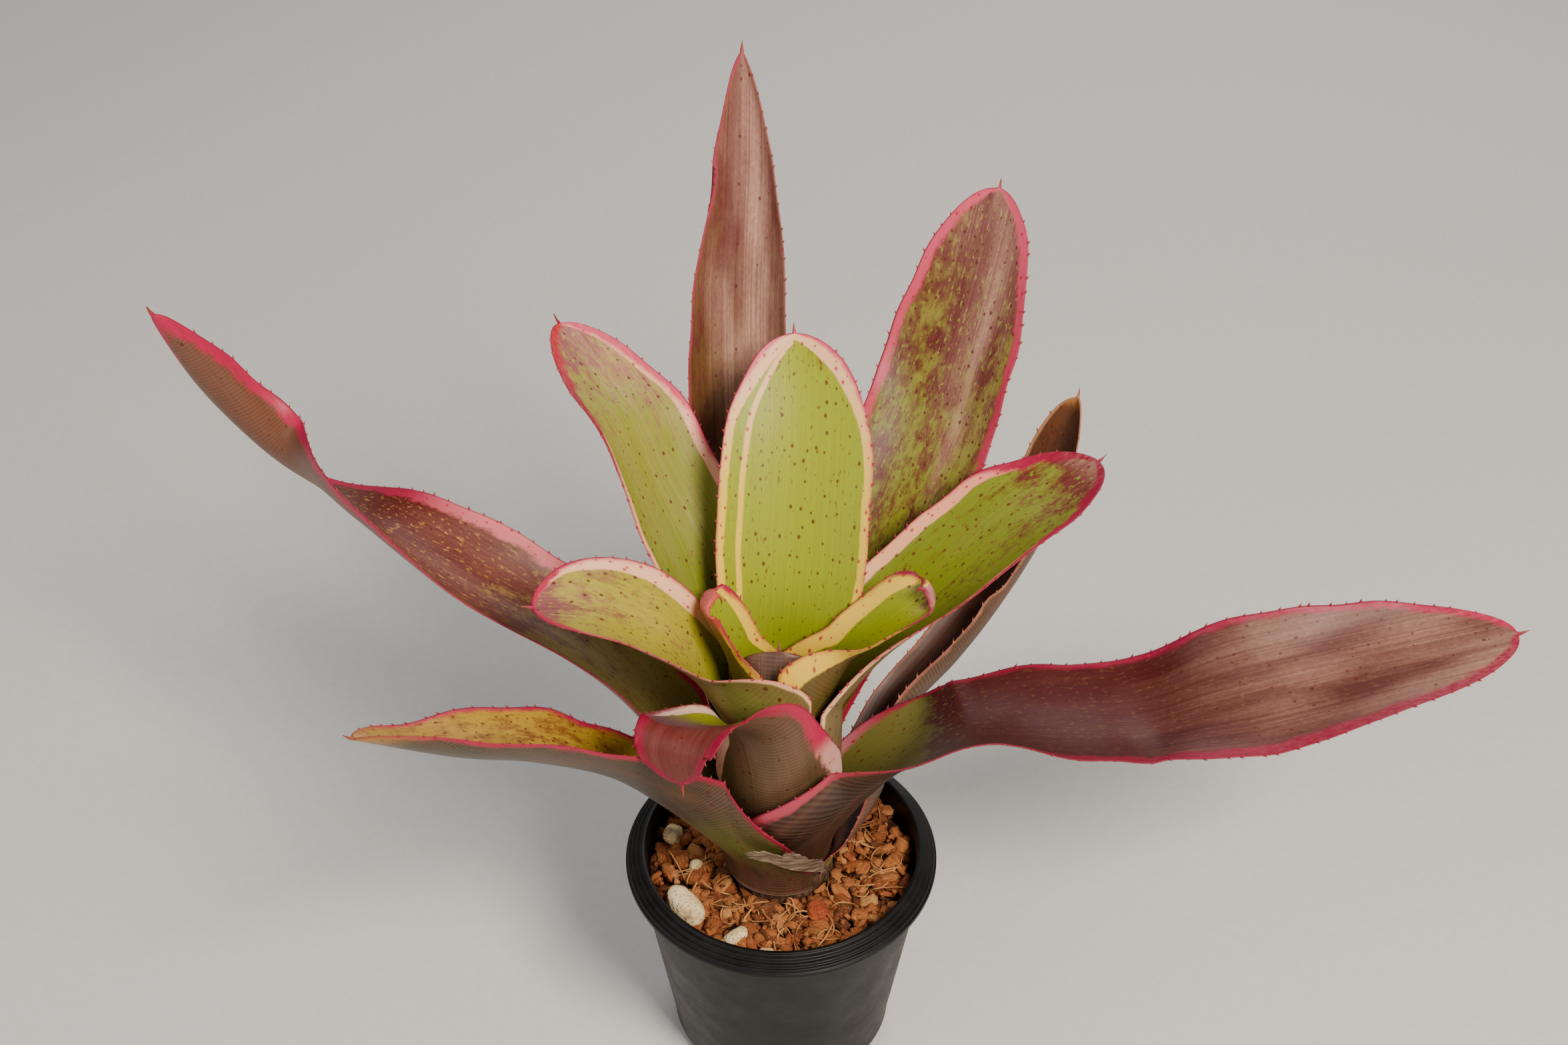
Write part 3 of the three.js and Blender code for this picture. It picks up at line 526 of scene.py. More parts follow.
SPINE_ROWS, SPINE_SIDES = 5, 6
MARGIN_WAVE, MARGIN_WAVELENGTH = 0.35, 26  # the slow waver of the outline, outward
FACE_WAVE, FACE_WAVELENGTH = 0.5, 34  # and of the free margins, up and down
TUBE_TOP = 150  # the sheaths are all closed up to here
TUBE_MOUTH = 14  # over this much height the blades come free of the sheaths within
LIFT_FADE = 1.8  # a lifted margin has come down once the blade has run so many times its opens

# Each leaf from the heart outward. The azimuth is the way it points, in degrees, and skew turns its sheath
# on the tube. The sheath ends at the neck's height; over the length opens the blade comes free. The
# midrib's knots are (out, height) or (out, height, aside), and wrap is half the angle of the sheath at its
# foot and at its neck. The width is the blade's, and the share of it that it starts with; taper is where it
# begins to narrow, a power and a root. Lift raises one side of the sheath's edge. The other values are keys
# from the neck at 0 to the tip at 1: cup and roll in degrees, the colours of both faces, how much flush,
# silver scales with their painted sheen, and specks there are, and the widths of the cream band and of the
# rim, in one list or in two.
LEAVES = [
    dict(
        name="leaf_heart", azimuth=265, skew=0, neck=148, opens=8,
        midrib=[(11, 159), (6, 168)],
        wrap=(110, 110), width=(40, 1), taper=(0.1, 2.5, 0.5),
        cup=[(0, 105), (0.6, 90), (1, 20)], roll=[(0, 0)],
        upper=[(0, PLUM)], under=[(0, "#4a3630")], stain=PLUM, flush=[(0, 0.5)], silver_and_sheen=[(0, 0.35)],
        specks=0.2,
        cream=[(0, 0)], rim=[(0, 1.4)], rim_colour=[(0, WINE)],
    ),
    dict(
        name="leaf_inner_left", azimuth=163, skew=0, neck=142, opens=16, lift=(1, 16),
        midrib=[(17, 160), (22, 171), (27, 179), (29, 180)],
        wrap=(95, 95), width=(26, 0.95), taper=(0.6, 2, 0.5),
        cup=[(0, 75), (1, 60)], roll=[(0, 0), (1, 15)],
        curl=(8, 3),
        upper=[(0, LEAF_GREEN), (1, LIME)], under=[(0, OLIVE), (0.6, KHAKI), (0.9, "#d0606a")], stain=WINE,
        flush=[(0, 0), (0.7, 0.1), (1, 0.5)], silver_and_sheen=[(0, 0)], specks=0.4,
        cream=([(0, 3.8)], [(0, 2)]), rim=([(0, 0.4), (0.5, 0.8), (1, 4)], [(0, 0.9), (0.5, 1.4), (1, 4)]),
        rim_colour=([(0, "#c8503a"), (0.6, ROSE)], [(0, "#d98a4a"), (0.5, "#cf4f4a")]),
    ),
    dict(
        name="leaf_inner_right", azimuth=6, skew=0, neck=142, opens=18, lift=(-1, 24),
        midrib=[(21, 159), (31, 170), (41, 178), (47, 181), (48, 179)],
        wrap=(100, 100), width=(28, 1), taper=(0.6, 2, 0.5),
        cup=[(0, 75), (0.5, 48), (1, 45)], roll=[(0, 0), (0.5, -5), (1, 10)],
        curl=(8, 2.8),
        upper=[(0, LEAF_GREEN), (1, LIME)], under=[(0, OLIVE), (0.7, TAUPE), (0.9, "#d4747c")], stain=WINE,
        flush=[(0, 0), (0.75, 0.1), (1, 0.9)], silver_and_sheen=[(0.7, 0), (1, 0.7)], specks=0.4,
        cream=([(0, 5.5), (1, 2)], [(0, 7), (1, 5)]),
        rim=([(0, 0.6), (0.7, 0.8), (1, 4)], [(0, 0.6), (0.7, 1), (1, 4)]),
        rim_colour=[(0, "#c0503a"), (0.8, CRIMSON)],
    ),
    dict(
        name="leaf_centre", azimuth=90, skew=0, neck=140, opens=26,
        midrib=[(21, 164, -2), (35, 190, -4), (52, 214, -5), (68, 230, -4)],
        wrap=(85, 80), width=(48, 0.85), taper=(0.55, 2, 0.5),
        cup=[(0, 60), (0.3, 35), (1, 20)], roll=[(0, 0)],
        upper=[(0, LEAF_GREEN), (0.35, LIME), (1, LIME)], under=[(0, OLIVE), (1, KHAKI)], stain=WINE,
        flush=[(0, 0), (0.82, 0.1), (1, 0.4)], silver_and_sheen=[(0, 0)], specks=0.55,
        cream=([(0, 3), (0.7, 3), (1, 7)], [(0, 2.6), (0.7, 3), (1, 7)]),
        cream_colour=[(0.5, BUTTER), (0.9, "#f8c090")],
        rim=[(0, 0.5), (0.7, 0.9), (1, 2.6)], rim_colour=[(0, ROSE), (1, PINK)], stripe=(1, 7.5, 1.7),
    ),
    dict(
        name="leaf_left_short", azimuth=190, skew=21, neck=136, opens=24, lift=(1, 20),
        midrib=[(32, 169), (43, 180), (51, 186), (60, 189.5), (71, 191)],
        wrap=(90, 91), width=(40, 1), taper=(0.6, 2, 0.5),
        cup=[(0, 80), (0.4, 55), (1, 30)], roll=[(0, 0), (0.5, -8), (1, -2)],
        upper=[(0, LEAF_GREEN), (0.4, YELLOW_GREEN)], under=[(0, "#7c7a34"), (1, TAUPE)], stain="#7c343a",
        flush=[(0, 0), (0.4, 0.3), (0.85, 0.42), (1, 0.85)], silver_and_sheen=[(0, 0), (0.5, 0.15), (1, 0.3)],
        specks=0.6,
        cream=([(0, 3.5), (0.5, 5), (1, 3)], [(0, 1)]), cream_colour=[(0, CREAM), (0.6, "#ffc298")],
        rim=[(0, 0.6), (0.8, 1.2), (1, 4)], rim_colour=[(0, PINK), (1, ROSE)],
    ),
    dict(
        name="leaf_right_mid", azimuth=30, skew=-10, neck=142, opens=30, lift=(-1, 8),
        midrib=[(39, 156.5), (52, 163.5), (66, 172), (81, 180), (95, 184), (113, 190.5)],
        wrap=(88, 70), width=(43, 0.92), taper=(0.6, 2, 0.5),
        cup=[(0, 51), (0.4, 40), (1, 20)], roll=[(0, -4)],
        upper=[(0, OLIVE), (0.3, LEAF_GREEN), (1, LEAF_GREEN)], under=[(0, "#857650"), (1, TAUPE)],
        stain=WINE,
        flush=[(0, 0), (0.5, 0.25), (0.86, 0.5), (1, 1)], silver_and_sheen=[(0, 0), (0.9, 0.1), (1, 0.8)], specks=0.7,
        cream=([(0, 2)], [(0, 4), (0.5, 4.6), (1, 3)]),
        cream_colour=[(0, CREAM), (0.5, "#fcae88"), (1, PINK)],
        rim=([(0, 0.8), (0.5, 1.6), (1, 5)], [(0, 0.6), (0.65, 1), (0.85, 4.5), (1, 5)]),
        rim_colour=[(0, PINK), (0.6, ROSE), (1, CRIMSON)],
    ),
    dict(
        name="leaf_upper_left", azimuth=130, skew=6, neck=130, opens=30,
        midrib=[(40, 175), (51, 187), (60, 196), (69, 208), (84, 215), (106, 225)],
        wrap=(85, 64), width=(41, 0.95), taper=(0.6, 2, 0.5),
        cup=[(0, 60), (0.4, 38), (1, 20)], roll=[(0, 0), (0.4, 2), (0.6, 15), (1, 15)],
        upper=[(0, OLIVE), (0.25, LEAF_GREEN), (0.7, "#8c9420"), (1, YELLOW_GREEN)],
        under=[(0, KHAKI), (1, TAUPE)], stain="#8a3c44",
        # Toward the tip its silver is partly real scales and partly a painted highlight, the glossy patch on
        # the blade.
        flush=[(0, 0), (0.6, 0.2), (0.9, 0.55), (1, 0.85)], silver_and_sheen=[(0, 0), (0.5, 0.2), (1, 0.7)],
        specks=0.45,
        cream=([(0, 4.2), (1, 4)], [(0, 2.8), (1, 2)]), cream_colour=[(0, "#fcc498"), (0.5, "#fcb898")],
        rim=([(0, 0.7), (0.5, 1.6), (1, 4)], [(0, 0.7), (0.55, 0.9), (0.85, 4), (1, 5)]),
        rim_colour=([(0, ROSE), (0.7, PINK)], [(0, PINK), (0.7, CRIMSON), (1, "#c01428")]),
    ),
    dict(
        name="leaf_front_folded", azimuth=250, skew=14, neck=118, opens=34, lift=(1, 10),
        midrib=[(24, 150, 1), (37, 163, -10), (46, 168, -12), (50.5, 165, -13), (53.5, 155.5, -10)],
        wrap=(80, 68), width=(32.5, 0.85), taper=(0.65, 2, 0.5),
        cup=[(0, 60), (0.5, 42), (0.72, 14), (1, 10)], roll=[(0, 0), (0.5, 7), (1, 13)],
        upper=[(0, LEAF_GREEN), (0.6, LIME), (0.73, "#60101a"), (1, "#60101a")],
        under=[(-1, BARK), (-0.6, UMBER), (-0.2, "#4c3820"), (0, "#4e3c1e"), (1, "#5c3428")], stain=WINE,
        flush=[(0, 0), (0.6, 0), (0.8, 0.8)], silver_and_sheen=[(0, 0.1)], specks=0.4,
        cream=([(0, 5), (0.65, 5), (0.8, 0)], [(0, 0)]), cream_colour=[(0, BLUSH), (0.5, "#fad0bc")],
        rim=([(0, 1), (0.6, 1.5), (0.8, 3.5)], [(-0.3, 2), (0, 7), (0.2, 6), (0.4, 4), (1, 3)]),
        rim_colour=(
            [(0, PINK), (0.6, CRIMSON)], [(0, "#f0bcac"), (0.12, "#eaa89c"), (0.26, ROSE), (1, CRIMSON)],
        ),
    ),
    dict(
        name="leaf_upper_right", azimuth=60, skew=12, neck=118, opens=40,
        midrib=[(50, 142), (83, 173), (101, 189), (115, 208), (126, 228), (137, 251)],
        wrap=(80, 40), width=(46, 0.75), taper=(0.65, 2, 0.5),
        cup=[(0, 60), (0.4, 38), (1, 20)], roll=[(0, 0), (0.5, 10), (0.7, 0)],
        upper=[(0, OLIVE), (0.4, "#80861e"), (1, "#8c7c30")], under=[(0, UMBER), (1, TAUPE)], stain="#5c1414",
        flush=[(0, 0.3), (0.4, 0.5), (0.7, 0.6), (1, 0.8)], silver_and_sheen=[(0, 0), (1, 0.1)], specks=0.7,
        # These silver patches are partly the scales' own pale and partly a painted sheen where light catches
        # the blade.
        silver_and_sheen_patches=[(0.72, -0.35, 0.22, 0.35, 0.7), (0.5, -0.6, 0.12, 0.3, 0.4), (1, 0, 0.12, 1, 0.5)],
        cream=[(0, 0)], rim=[(0, 2), (0.5, 3.5), (1, 4)], rim_colour=[(0, ROSE), (0.6, "#c83a58"), (1, PINK)],
    ),
    dict(
        name="leaf_back_tall", azimuth=95, skew=5, neck=104, opens=40,
        midrib=[(46, 132, 6), (69, 179, 7), (92, 225, 6), (109, 262, 3), (124, 295, 1)],
        wrap=(80, 50), width=(38, 0.9), taper=(0.45, 2, 0.7),
        cup=[(0, 60)], roll=[(0, 0)],
        bumps=[(1, 0.8, 17, -3.2), (-1, 0.72, 32, 1.6)],
        upper=[(0, MAROON), (0.4, "#5c4414"), (1, "#683820")], under=[(0, UMBER), (1, TAUPE)],
        stain="#561614",
        # Its silver, and most of all the patches, is partly real scales and partly a painted sheen.
        flush=[(0, 0.6), (0.5, 0.5), (1, 0.75)], silver_and_sheen=[(0, 0.15), (0.4, 0.3), (1, 0.5)], specks=0.15,
        silver_and_sheen_patches=[(0.6, -0.4, 0.3, 0.3, 0.8), (0.55, 0.15, 0.2, 0.12, 0.6)],
        cream=[(0, 0)], rim=([(0, 1)], [(0, 2), (0.6, 1.2)]),
        rim_colour=([(0, "#b07060")], [(0, ROSE), (1, "#b04050")]),
    ),
    dict(
        name="leaf_left_long", azimuth=157, skew=22, neck=92, opens=40,
        midrib=[
            (44, 123), (64, 138, -1), (92.5, 153, 1), (132, 171, 4.5), (182, 176, -11), (206, 230.5, 3.5),
        ],
        wrap=(85, 62), width=(43, 0.9), taper=(0.45, 1.6, 0.6),
        cup=[(0, 60), (0.2, 48), (0.45, 50), (0.62, 60), (1, 70)],
        roll=[(0, 0), (0.2, 13), (0.4, 4), (0.96, 112)],
        upper=[(0, OLIVE), (0.3, "#86782a"), (0.5, "#c08a34")],
        under=[(0, "#6a4e36"), (0.6, "#70442c")], stain="#5c1610", specks=0.3,
        flush=[(0, 0.1), (0.25, 0.4), (0.4, 0.7), (0.5, 1)],
        silver_and_sheen=[(0, 0.05), (0.35, 0.2), (0.5, 0.22), (0.6, 0.1)],
        cream=[(0, 0)], rim=([(0, 4), (0.4, 4.5), (1, 4)], [(0, 1.4), (0.4, 1.5), (0.6, 4), (1, 4.5)]),
        rim_colour=([(0, CRIMSON), (0.3, "#b4263c"), (0.42, "#e47a80"), (0.6, ROSE)], [(0, ROSE)]),
    ),
    dict(
        name="leaf_right_long", azimuth=5, skew=-37, neck=97, opens=35,
        midrib=[
            (32.5, 111, -2.5), (53.5, 127, -3), (64, 128, -2), (96, 124.5), (114, 122.5, 1.5), (137.5, 131.5),
            (226.5, 152),
        ],
        wrap=(85, 89), width=(49, 1.35), taper=(0.6, 2, 0.5),
        cup=[(0, 74), (0.2, 24), (0.35, 26), (0.8, 30), (1, 5)],
        roll=[(0.05, -35), (0.2, -24), (0.37, -6), (0.5, 0), (0.65, 23), (0.85, 14), (1, 7)],
        bumps=[(-1, 0.05, 13, 6)],
        upper=[(0, "#66612a"), (0.18, "#66612a"), (0.26, "#5c3418"), (1, "#5c3418")],
        under=[(-1, BARK), (0, "#2c1812"), (1, "#3a2418")], stain="#46080a", specks=0.35,
        flush=[(0, 0), (0.12, 0.2), (0.22, 1), (0.5, 1), (0.62, 0.8), (1, 1)],
        # The silver on the far half is partly real scales and partly a painted sheen.
        silver_and_sheen=[(0, 0), (0.4, 0.04), (0.75, 0.35), (1, 0.6)], silver_and_sheen_patches=[(0.68, 0.2, 0.07, 0.5, 0.35)],
        cream=[(0, 0)], rim=([(0, 4), (0.6, 5), (1, 4)], [(0, 5), (0.15, 2), (1, 3)]),
        rim_colour=(
            [(0, "#c04a5c"), (0.25, CRIMSON)], [(0, "#d08088"), (0.12, CRIMSON), (0.8, "#a01040"), (1, ROSE)],
        ),
    ),
    dict(
        name="leaf_right_back", azimuth=44, skew=-11, neck=82, opens=50,
        midrib=[
            (35.5, 86.5, -5.5), (56.5, 101.5, -1), (79, 109), (103, 122, 1), (119, 155, -2.5),
            (134.5, 188, 1),
        ],
        wrap=(75, 71), width=(30, 1.07), taper=(0.7, 2, 0.5),
        cup=[(0, 80), (0.5, 82), (1, 60)], roll=[(0, -50), (0.5, -33), (1, -4)],
        upper=[(0, "#2c0f0a"), (0.8, "#4a2412"), (0.97, "#5c3416"), (1, TAN)],
        under=[(-1, BARK), (-0.5, LEAF_GREEN), (0, "#3e2c1e"), (0.8, "#4c301c"), (1, "#7a4c20")],
        stain="#3e1c10", flush=[(0, 0.4), (0.85, 0.5), (1, 0.3)], silver_and_sheen=[(0, 0.1)], specks=0.6,
        cream=[(0, 0)], rim=[(0, 1)], rim_colour=[(0, "#8c4c40"), (1, "#d9a878")],
    ),
    dict(
        name="leaf_left_low", azimuth=208, skew=15, neck=84, opens=50,
        midrib=[(31, 104), (58, 139.5), (82.5, 158), (102.5, 168.5), (128, 186.5)],
        wrap=(80, 77), width=(48, 1.3), taper=(0.65, 1.8, 0.6),
        cup=[(0, 80), (0.25, 75), (0.45, 53), (1, 31)], roll=[(0, 25), (0.5, 20), (1, 34)],
        upper=[(0, "#6a661c"), (0.6, "#b08c1c"), (0.93, "#b88c34"), (1, "#dca864")],
        # Its lower face is darker from a quarter of the way along to near the tip: its own olive-brown
        # deepened with painted shade.
        under=[
            (-1, BARK), (0, "#3e281a"), (0.12, "#4e5216"), (0.27, "#33281a"), (0.9, "#3c3414"),
            (1, "#b8843c"),
        ],
        stain="#6c3214", flush=[(0, 0.2), (0.5, 0.45), (1, 0.35)], silver_and_sheen=[(0, 0.05)], specks=1,
        cream=[(0, 0)], rim=[(-0.2, 0), (0.06, 2), (0.9, 2)],
        rim_colour=[(0, CRIMSON), (0.85, ROSE), (1, TAN)],
    ),
]


def eased(keys, s):
    """The value at s of a list of (s, number or hex colour) keys, eased from key to key."""
    coloured = isinstance(keys[0][1], str)
    values = [np.array(linear(value) if coloured else [float(value)]) for _, value in keys]
    result = np.broadcast_to(values[0], s.shape + values[0].shape)
    for (start, _), (end, _), low, high in zip(keys, keys[1:], values, values[1:]):
        between = mix(low, high, smooth((s - start) / (end - start))[..., None])
        result = np.where((s > start)[..., None], between, result)
    return result if coloured else result[..., 0]


def spline(knots, t):
    """Points at t from 0 to 1 of a centripetal Catmull-Rom curve through the knots."""
    knots = np.array(knots, float)
    ends = np.vstack([2 * knots[0] - knots[1], knots, 2 * knots[-1] - knots[-2]])
    place = (len(knots) - 1) * np.clip(t, 0, 1)
    i = np.minimum(place.astype(int), len(knots) - 2)
    w = (place - i)[:, None]
    p0, p1, p2, p3 = ends[i], ends[i + 1], ends[i + 2], ends[i + 3]
    d0, d1, d2 = (np.sqrt(np.linalg.norm(b - a, axis=1))[:, None] for a, b in ((p0, p1), (p1, p2), (p2, p3)))
    m1 = ((p1 - p0) / d0 - (p2 - p0) / (d0 + d1) + (p2 - p1) / d1) * d1
    m2 = ((p2 - p1) / d1 - (p3 - p1) / (d1 + d2) + (p3 - p2) / d2) * d1
    return p1 + m1 * w + (3 * (p2 - p1) - 2 * m1 - m2) * w**2 + (2 * (p1 - p2) + m1 + m2) * w**3


def unit(vectors):
    """Vectors scaled to length 1."""
    return vectors / np.linalg.norm(vectors, axis=-1, keepdims=True)


def leaf_axis(leaf):
    """The leaf's directions out and across, its knots from just under the neck to the tip, the lengths
    reached at places t of their curve, the neck's length and the blade's own."""
    turn = np.radians(leaf["azimuth"])
    out, across = np.array([np.cos(turn), np.sin(turn), 0]), np.array([-np.sin(turn), np.cos(turn), 0])
    tube = [(sheath_radius(leaf["layer"], z), z) for z in (leaf["neck"] - 6, leaf["neck"])]
    knots = [out * x + across * y + UP * z for x, z, y in [(*knot, 0)[:3] for knot in tube + leaf["midrib"]]]
    t = np.linspace(0, 1, 401)
    steps = np.linalg.norm(np.diff(spline(knots, t), axis=0), axis=1)
    lengths = np.concatenate([[0], np.cumsum(steps)])
    neck_at = lengths[round(400 / (len(knots) - 1))]
    return out, across, knots, t, lengths, neck_at, lengths[-1] - neck_at


def leaf_surface(leaf, s, v):
    """The middle of the leaf at rows s, from -1 at the sheath's foot through 0 at the neck to 1 at the tip,
    and columns v from -1 to 1 across it. Each section is an arc. In the sheath it lies level round the
    tube; over the blade's first stretch it turns square to the midrib and takes the blade's own width and
    cup. Past 1 the midrib runs straight on as the point, and a tip with a curl, (length, radius), is rolled
    up. The result is the points and the distances across from the midrib, in from the margin and along, in
    millimetres."""
    out, across, knots, t, lengths, neck_at, blade = leaf_axis(leaf)
    layer, neck, start = leaf["layer"], leaf["neck"], sheath_start(leaf["layer"])
    place = np.interp(neck_at + np.clip(s, 0, 1) * blade, lengths, t)
    below = mix(neck, start, -np.minimum(s, 0))
    tube = out * sheath_radius(layer, below)[:, None] + UP * below[:, None]
    along = unit(spline(knots, np.minimum(place + 1e-4, 1)) - spline(knots, np.maximum(place - 1e-4, 0)))
    middle = np.where((s < 0)[:, None], tube, spline(knots, place))
    opened = smooth(s * blade / leaf["opens"])
    side = unit(across - along * ((along @ across) * opened)[:, None])
    inward = unit(mix(-out, np.cross(along, side), opened[:, None]))
    past = np.maximum(s - 1, 0) * blade
    middle = middle + along * past[:, None] + inward * TIP_HOOK * (past / TIP_SPINE)[:, None] ** 2
    roll = np.radians(eased(leaf["roll"], s)) * opened
    c, n = np.cos(roll)[:, None], np.sin(roll)[:, None]
    side, inward = side * c + inward * n, inward * c - side * n
    if "curl" in leaf:
        length, radius = leaf["curl"]
        over = np.maximum(s * blade - blade + length, 0)[:, None]
        k = int(np.argmax(over[:, 0] > 0))
        c, n = np.cos(over / radius), np.sin(over / radius)
        rolled = middle[k] + along[k] * radius * n + inward[k] * radius * (1 - c)
        middle = np.where(over > 0, rolled, middle)
        inward = np.where(over > 0, inward[k] * c - along[k] * n, inward)
        side = np.where(over > 0, side[k], side)

    foot_wrap, neck_wrap = np.radians(leaf["wrap"])
    wrap = mix(neck_wrap, foot_wrap, np.clip(-s, 0, 1))
    width, share = leaf["width"]
    taper_from, power, root = leaf["taper"]
    narrowed = np.clip((s - taper_from) / (1 - taper_from), 0, 1) ** power
    blade_half = width / 2 * mix(share, 1, smooth(s / 0.4)) * (1 - narrowed) ** root
    half = np.maximum(mix(sheath_radius(layer, below) * wrap, blade_half, opened), LEAST_HALF)
    half = half * (1 - TIP_TAPER * np.clip(past / TIP_SPINE, 0, 1))
    angle = mix(wrap, np.radians(eased(leaf["cup"], s)), opened)
    skew = mix(np.radians(leaf["skew"]), 0, opened)

    distance = s * np.where(s < 0, neck - start, blade)
    reach = 1 + margin_shift(leaf, distance, blade, v) / half[:, None]
    spread = v * mix(1, reach, v**4)
    turn = angle[:, None] * spread + skew[:, None]
    radius = (half / angle)[:, None, None]
    points = middle[:, None] + side[:, None] * radius * np.sin(turn)[..., None]
    points = points + inward[:, None] * radius * (1 - np.cos(turn))[..., None]
    lifted, lift = leaf.get("lift", (1, 0))
    held = smooth(s + 1) * (1 - smooth(s * blade / (LIFT_FADE * leaf["opens"])))
    points[..., 2] += lift * held[:, None] * np.maximum(v * lifted, 0) ** 1.5
    height = points[..., 2]
    clear = sheath_radius(layer, height) * smooth((TUBE_TOP + TUBE_MOUTH - height) / TUBE_MOUTH)
    flat = np.hypot(points[..., 0], points[..., 1])
    points[..., :2] *= np.where(flat < clear, clear / np.maximum(flat, 1e-6), 1)[..., None]
    from_midrib = half[:, None] * spread
    from_margin = half[:, None] * reach - np.abs(from_midrib)
    return points, from_midrib, from_margin, np.broadcast_to(distance[:, None], from_midrib.shape)


def margin_shift(leaf, distance, blade, v):
    """How far the margins stand out of the plain outline at each row and column: a slow seeded waviness,
    and the leaf's own bumps, each (side, s, length, height) and bell-shaped."""
    side = np.where(v < 0, -1, 1)
    low, high = (ripple(distance[:, None], MARGIN_WAVELENGTH, leaf["layer"] + seed) for seed in (40, 80))
    shift = MARGIN_WAVE * np.where(side[None] < 0, low[:, None], high[:, None])
    for end, s, length, height in leaf.get("bumps", []):
        bell = np.exp(-(((distance - s * blade) / length) ** 2))
        shift = shift + height * np.where(side[None] == end, bell[:, None], 0)
    fade = smooth(distance / 15) * smooth((blade - distance) / 10)
    return shift * fade[:, None]


def leaf_spines(leaf, s, points, normals):
    """The hooked spines of both margins, as cones with their feet in the margin and their tips drawn toward
    the leaf's own tip. They stand a seeded distance apart."""
    random = np.random.default_rng(leaf["layer"] + 7)
    rows = []
    for end, column in ((-1, 0), (1, -1)):
        edge, within = points[:, column], points[:, column - 2 * end]
        lengths = np.concatenate([[0], np.cumsum(np.linalg.norm(np.diff(edge, axis=0), axis=1))])
        first, last = np.interp([SPINES_FROM, SPINES_TO], s, lengths)
        count = int((last - first) / SPINE_GAP)
        at = first + (np.arange(count) + random.uniform(-0.3, 0.3, count)) * SPINE_GAP
        foot, inner, ahead, up = (
            np.stack([np.interp(place, lengths, values[:, k]) for k in range(3)], -1)
            for place, values in ((at, edge), (at, within), (at + 1, edge), (at, normals[:, column]))
        )
        rows.append((foot, unit(foot - inner), unit(ahead - foot), unit(up)))
    foot, away, forward, up = (np.concatenate(parts) for parts in zip(*rows))
    size = random.uniform(0.65, 1.15, (len(foot), 1, 1)) * SPINE_LENGTH
    t = np.linspace(0, 1, SPINE_ROWS)[:, None]
    centre = foot[:, None] + away[:, None] * (t - 0.25) * size + forward[:, None] * 0.7 * t**2 * size
    width = (1 - t) ** 1.2 * 0.55 + 0.03
    angle = np.linspace(0, 2 * np.pi, SPINE_SIDES, endpoint=False)
    ring = forward[:, None] * 0.85 * np.cos(angle)[:, None] + up[:, None] * 0.5 * np.sin(angle)[:, None]
    cone = centre[:, :, None] + ring[:, None] * width[:, None] * size[..., None]
    quads = repeated(grid_quads(SPINE_ROWS, SPINE_SIDES, wrap=True), len(foot), SPINE_ROWS * SPINE_SIDES)
    share = np.broadcast_to(t[None, :, :, None], cone.shape[:3] + (1,))
    return cone.reshape(-1, 3), outward(cone.reshape(-1, 3), quads), share.reshape(-1)


def sided(keys, s, v):
    """Values along the leaf: one list of keys, or two for the sides where v is below 0 and above it."""
    keys = (keys, keys) if isinstance(keys, list) else keys
    below, over = (eased(side, s).reshape(len(s), 1, -1) for side in keys)
    return np.where(v[:, None] < 0, below, over)


def tone(leaf, key, s, v):
    """The amount of a marking at each row and column: eased along the leaf, with its patches, each
    (s, v, length, breadth, amount) and bell-shaped, added."""
    amount = eased(leaf[key], s)[:, None] + 0 * v
    for s0, v0, length, breadth, more in leaf.get(key + "_patches", []):
        amount = amount + more * np.exp(-(((s[:, None] - s0) / length) ** 2) - ((v - v0) / breadth) ** 2)
    return np.clip(amount, 0, 1)


